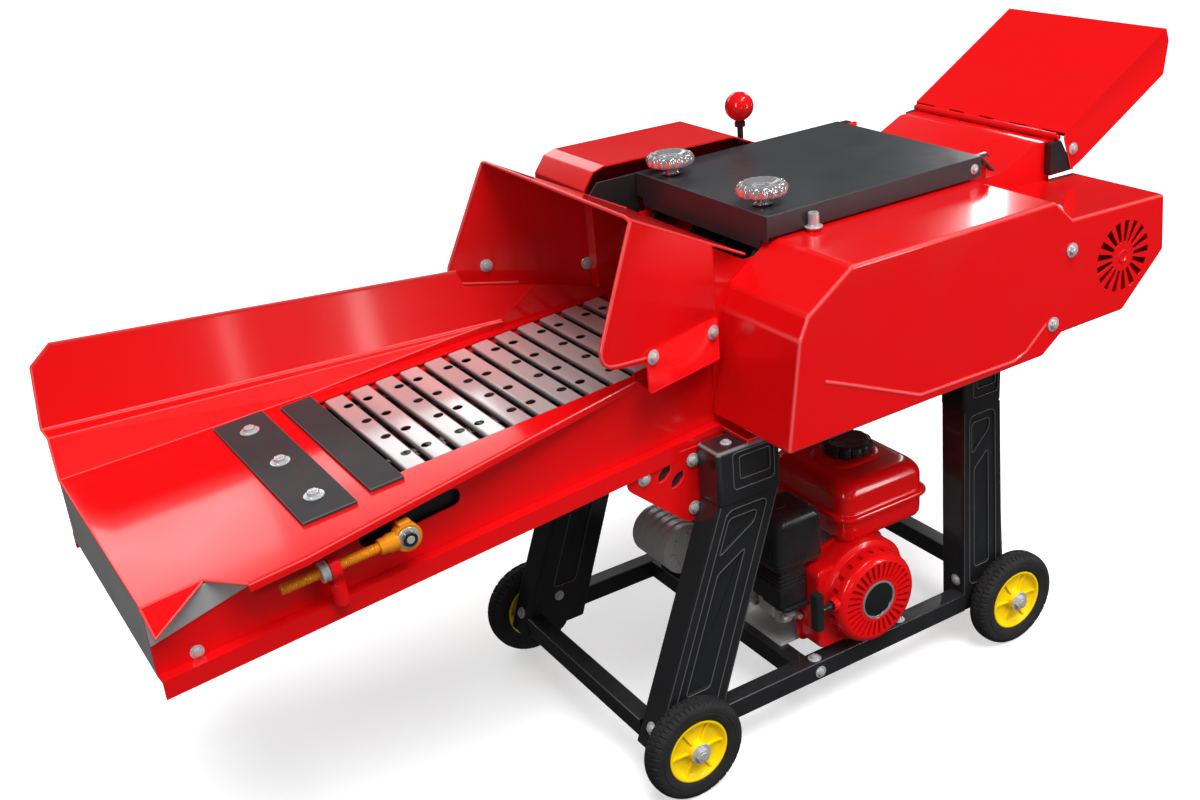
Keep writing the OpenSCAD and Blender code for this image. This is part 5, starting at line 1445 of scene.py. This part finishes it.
def boltSource():
    bm = lathe(bolt["washer"], (0, 0, 0), "Z", 24)
    addTo(bm, roundEdges(prism(circle(bolt["headR"], 6), *bolt["headZ"], "Z"), 0.7, 1))
    addTo(bm, lathe(bolt["tip"], (0, 0, 0), "Z", 16))
    return bm


def bothSides(spots):
    return spots + [((x, -y, z), (a, -b, c), size) for (x, y, z), (a, b, c), size in spots]


up = (0, 0, 1)
near = (0, -1, 0)
far = (0, 1, 0)
chamferUp = (42, 0, 46)
legFront = (-0.932, 0, 0.361)
wingAim = (-0.236, -0.972, 0)
bracketAim = (0.236, -0.972, 0)
barU = (-769 - trough["front"]) / math.cos(trough["slope"])
boltSpots = {
    "frame": [(onTrough(barU, y, 6), troughUp, 1.25) for y in (-150, 0, 150)]
    + [((605, -400, 869), near, 1.0), ((565, -400, 737), near, 1.0), ((586, -380, 945.2), chamferUp, 0.9)]
    + [((0, 400, 730), far, 1.0), ((0, 400, 990), far, 1.0), ((470, 400, 800), far, 1.0)]
    + [((-241, 254.5, 891), wingAim, 0.9), ((-49, 208, 859), wingAim, 0.9), ((-1012, -250.8, 624), near, 0.8)]
    + bothSides([((-202, -251.8, 850), bracketAim, 0.95), ((-57, -216.4, 842), bracketAim, 0.95)])
    + bothSides([((-66, -250, 648), up, 0.75), ((520, -250, 648), up, 0.75)])
    + bothSides([((x, -212, z), near, 0.95) for x, z in ((-112, 616), (-114, 522), (-214, 613))])
    + bothSides([((105, -262, 132), up, 0.95), ((106, -278, 110), near, 0.9)])
    + bothSides([((318, -262, 132), up, 0.95), ((484, -252, 156), (-1, 0, 0), 0.9)])
    + bothSides([((-262, -246, 130), legFront, 0.9), ((-188, -212, 160), far, 0.8)]),
    "cover": bothSides([((556, -205, 992), near, 0.7)]),
    "outlet_deflector": bothSides([((816, -206, 977), near, 0.85)]),
}
for body, spots in boltSpots.items():
    bolts = spotsMesh(spots, boltSource(), "boltSteel")
    placeMesh("bolts_" + body, bolts, "boltSteel", body, ("fasteners",) if body == "frame" else ())
print("stage: bolts")


# Floor, light and the photograph's view; a lamp is (place, aim, size, power, shows in gloss)
stage = {"floor": 30, "floorColour": (0.8, 0.8, 0.8, 1), "floorGlow": 0.5, "world": 0.2, "worldGloss": 0.03,
         "sunPower": 3.5, "sunWidth": math.radians(40), "sunWay": (0.04, 0.40, -0.90)}
lamps = {
    "stripLeft": ((-3.2, -1.6, 2.6), (-0.3, 0, 0.8), (0.28, 2.2), 24, True),
    "stripRight": ((2.2, -2.9, 1.1), (-0.2, 0, 0.8), (0.24, 1.5), 14, True),
    "backBox": ((0.9, 3.5, 2.6), (-0.1, 0, 0.8), (4.0, 0.9), 5, True),
    "backLeft": ((-0.75, 3.2, 2.4), (-0.9, 0, 0.75), (1.0, 0.6), 4, True),
    "slatBox": ((0.75, 3.4, 2.55), (-0.4, 0, 0.77), (1.6, 0.5), 5.5, True),
    "wallStripA": ((-0.72, -2.9, 0.95), (-0.5, 0.25, 0.86), (0.08, 0.4), 0.8, True),
    "wallStripB": ((-1.25, -2.9, 0.95), (-0.73, 0.3, 0.87), (0.05, 0.4), 0.35, True),
    "coverStrip": ((2.56, 1.7, 1.85), (0.5, -0.3, 0.96), (0.12, 0.8), 3, True),
    "frontFill": ((1.1, -2.5, 0.7), (0.25, -0.2, 0.35), (1.2, 0.8), 15, False),
    "rearFill": ((0.6, 2.9, 1.1), (0.1, 0.2, 0.6), (2.2, 1.2), 14, False),
    "overhead": ((1.2, -1.0, 3.6), (0.4, 0, 0.9), (2.6, 0.24), 28, True),
}


def makeFloor():
    half = stage["floor"]
    corners = [(-half, -half, 0), (half, -half, 0), (half, half, 0), (-half, half, 0)]
    mesh = bpy.data.meshes.new("floor")
    mesh.from_pydata(corners, [], [(0, 1, 2, 3)])
    material = bpy.data.materials.new("paleFloor")
    material.use_nodes = True
    shader = material.node_tree.nodes["Principled BSDF"]
    shader.inputs["Roughness"].default_value = 0.8
    shader.inputs["Base Color"].default_value = stage["floorColour"]
    shader.inputs["Emission Color"].default_value = (1, 1, 1, 1)
    shader.inputs["Emission Strength"].default_value = stage["floorGlow"]
    mesh.materials.append(material)
    floor = bpy.data.objects.new("floor", mesh)
    scene.collection.objects.link(floor)
    floor.visible_glossy = False  # paint mirrors the dark studio, not the floor
    floor.visible_diffuse = False


def makeWorld():
    world = bpy.data.worlds.new("studio")
    world.use_nodes = True
    nodes, links = world.node_tree.nodes, world.node_tree.links
    background = nodes["Background"]
    background.inputs["Color"].default_value = (1, 1, 1, 1)
    ray = nodes.new("ShaderNodeLightPath")
    strength = nodes.new("ShaderNodeMapRange")
    strength.inputs["To Min"].default_value = stage["world"]
    strength.inputs["To Max"].default_value = stage["worldGloss"]
    links.new(ray.outputs["Is Glossy Ray"], strength.inputs["Value"])
    links.new(strength.outputs["Result"], background.inputs["Strength"])
    scene.world = world


def hangLamp(lamp, way, glossy):
    holder = bpy.data.objects.new(lamp.name, lamp)
    scene.collection.objects.link(holder)
    holder.rotation_euler = Vector(way).to_track_quat("-Z", "Y").to_euler()
    holder.visible_glossy = glossy
    return holder


makeFloor()
makeWorld()
sun = bpy.data.lights.new("softSun", "SUN")
sun.energy = stage["sunPower"]
sun.angle = stage["sunWidth"]
hangLamp(sun, stage["sunWay"], False)
for name, (spot, aim, size, power, glossy) in lamps.items():
    lamp = bpy.data.lights.new(name, "AREA")
    lamp.shape = "RECTANGLE"
    lamp.size, lamp.size_y = size
    lamp.energy = power
    hangLamp(lamp, Vector(aim) - Vector(spot), glossy).location = spot
scene.view_settings.view_transform = "Standard"

view = {"spot": (-1.3463, -2.0952, 1.7619), "forward": (0.44719, 0.79403, -0.41175),
        "right": (0.8486, -0.5221, -0.0851), "lens": 43.23, "sensor": 36}
camera = bpy.data.objects.new("camera", bpy.data.cameras.new("camera"))
camera.data.lens = view["lens"]
camera.data.sensor_width = view["sensor"]
camera.data.sensor_fit = "HORIZONTAL"
camera.data.clip_end = 200
ahead = Vector(view["forward"]).normalized()
aside = ahead.cross(Vector(view["right"]).cross(ahead)).normalized()
camera.matrix_world = (Matrix.Translation(view["spot"])
                       @ Matrix((aside, aside.cross(ahead), -ahead)).transposed().to_4x4())
scene.collection.objects.link(camera)
scene.camera = camera
print("stage: view and light")
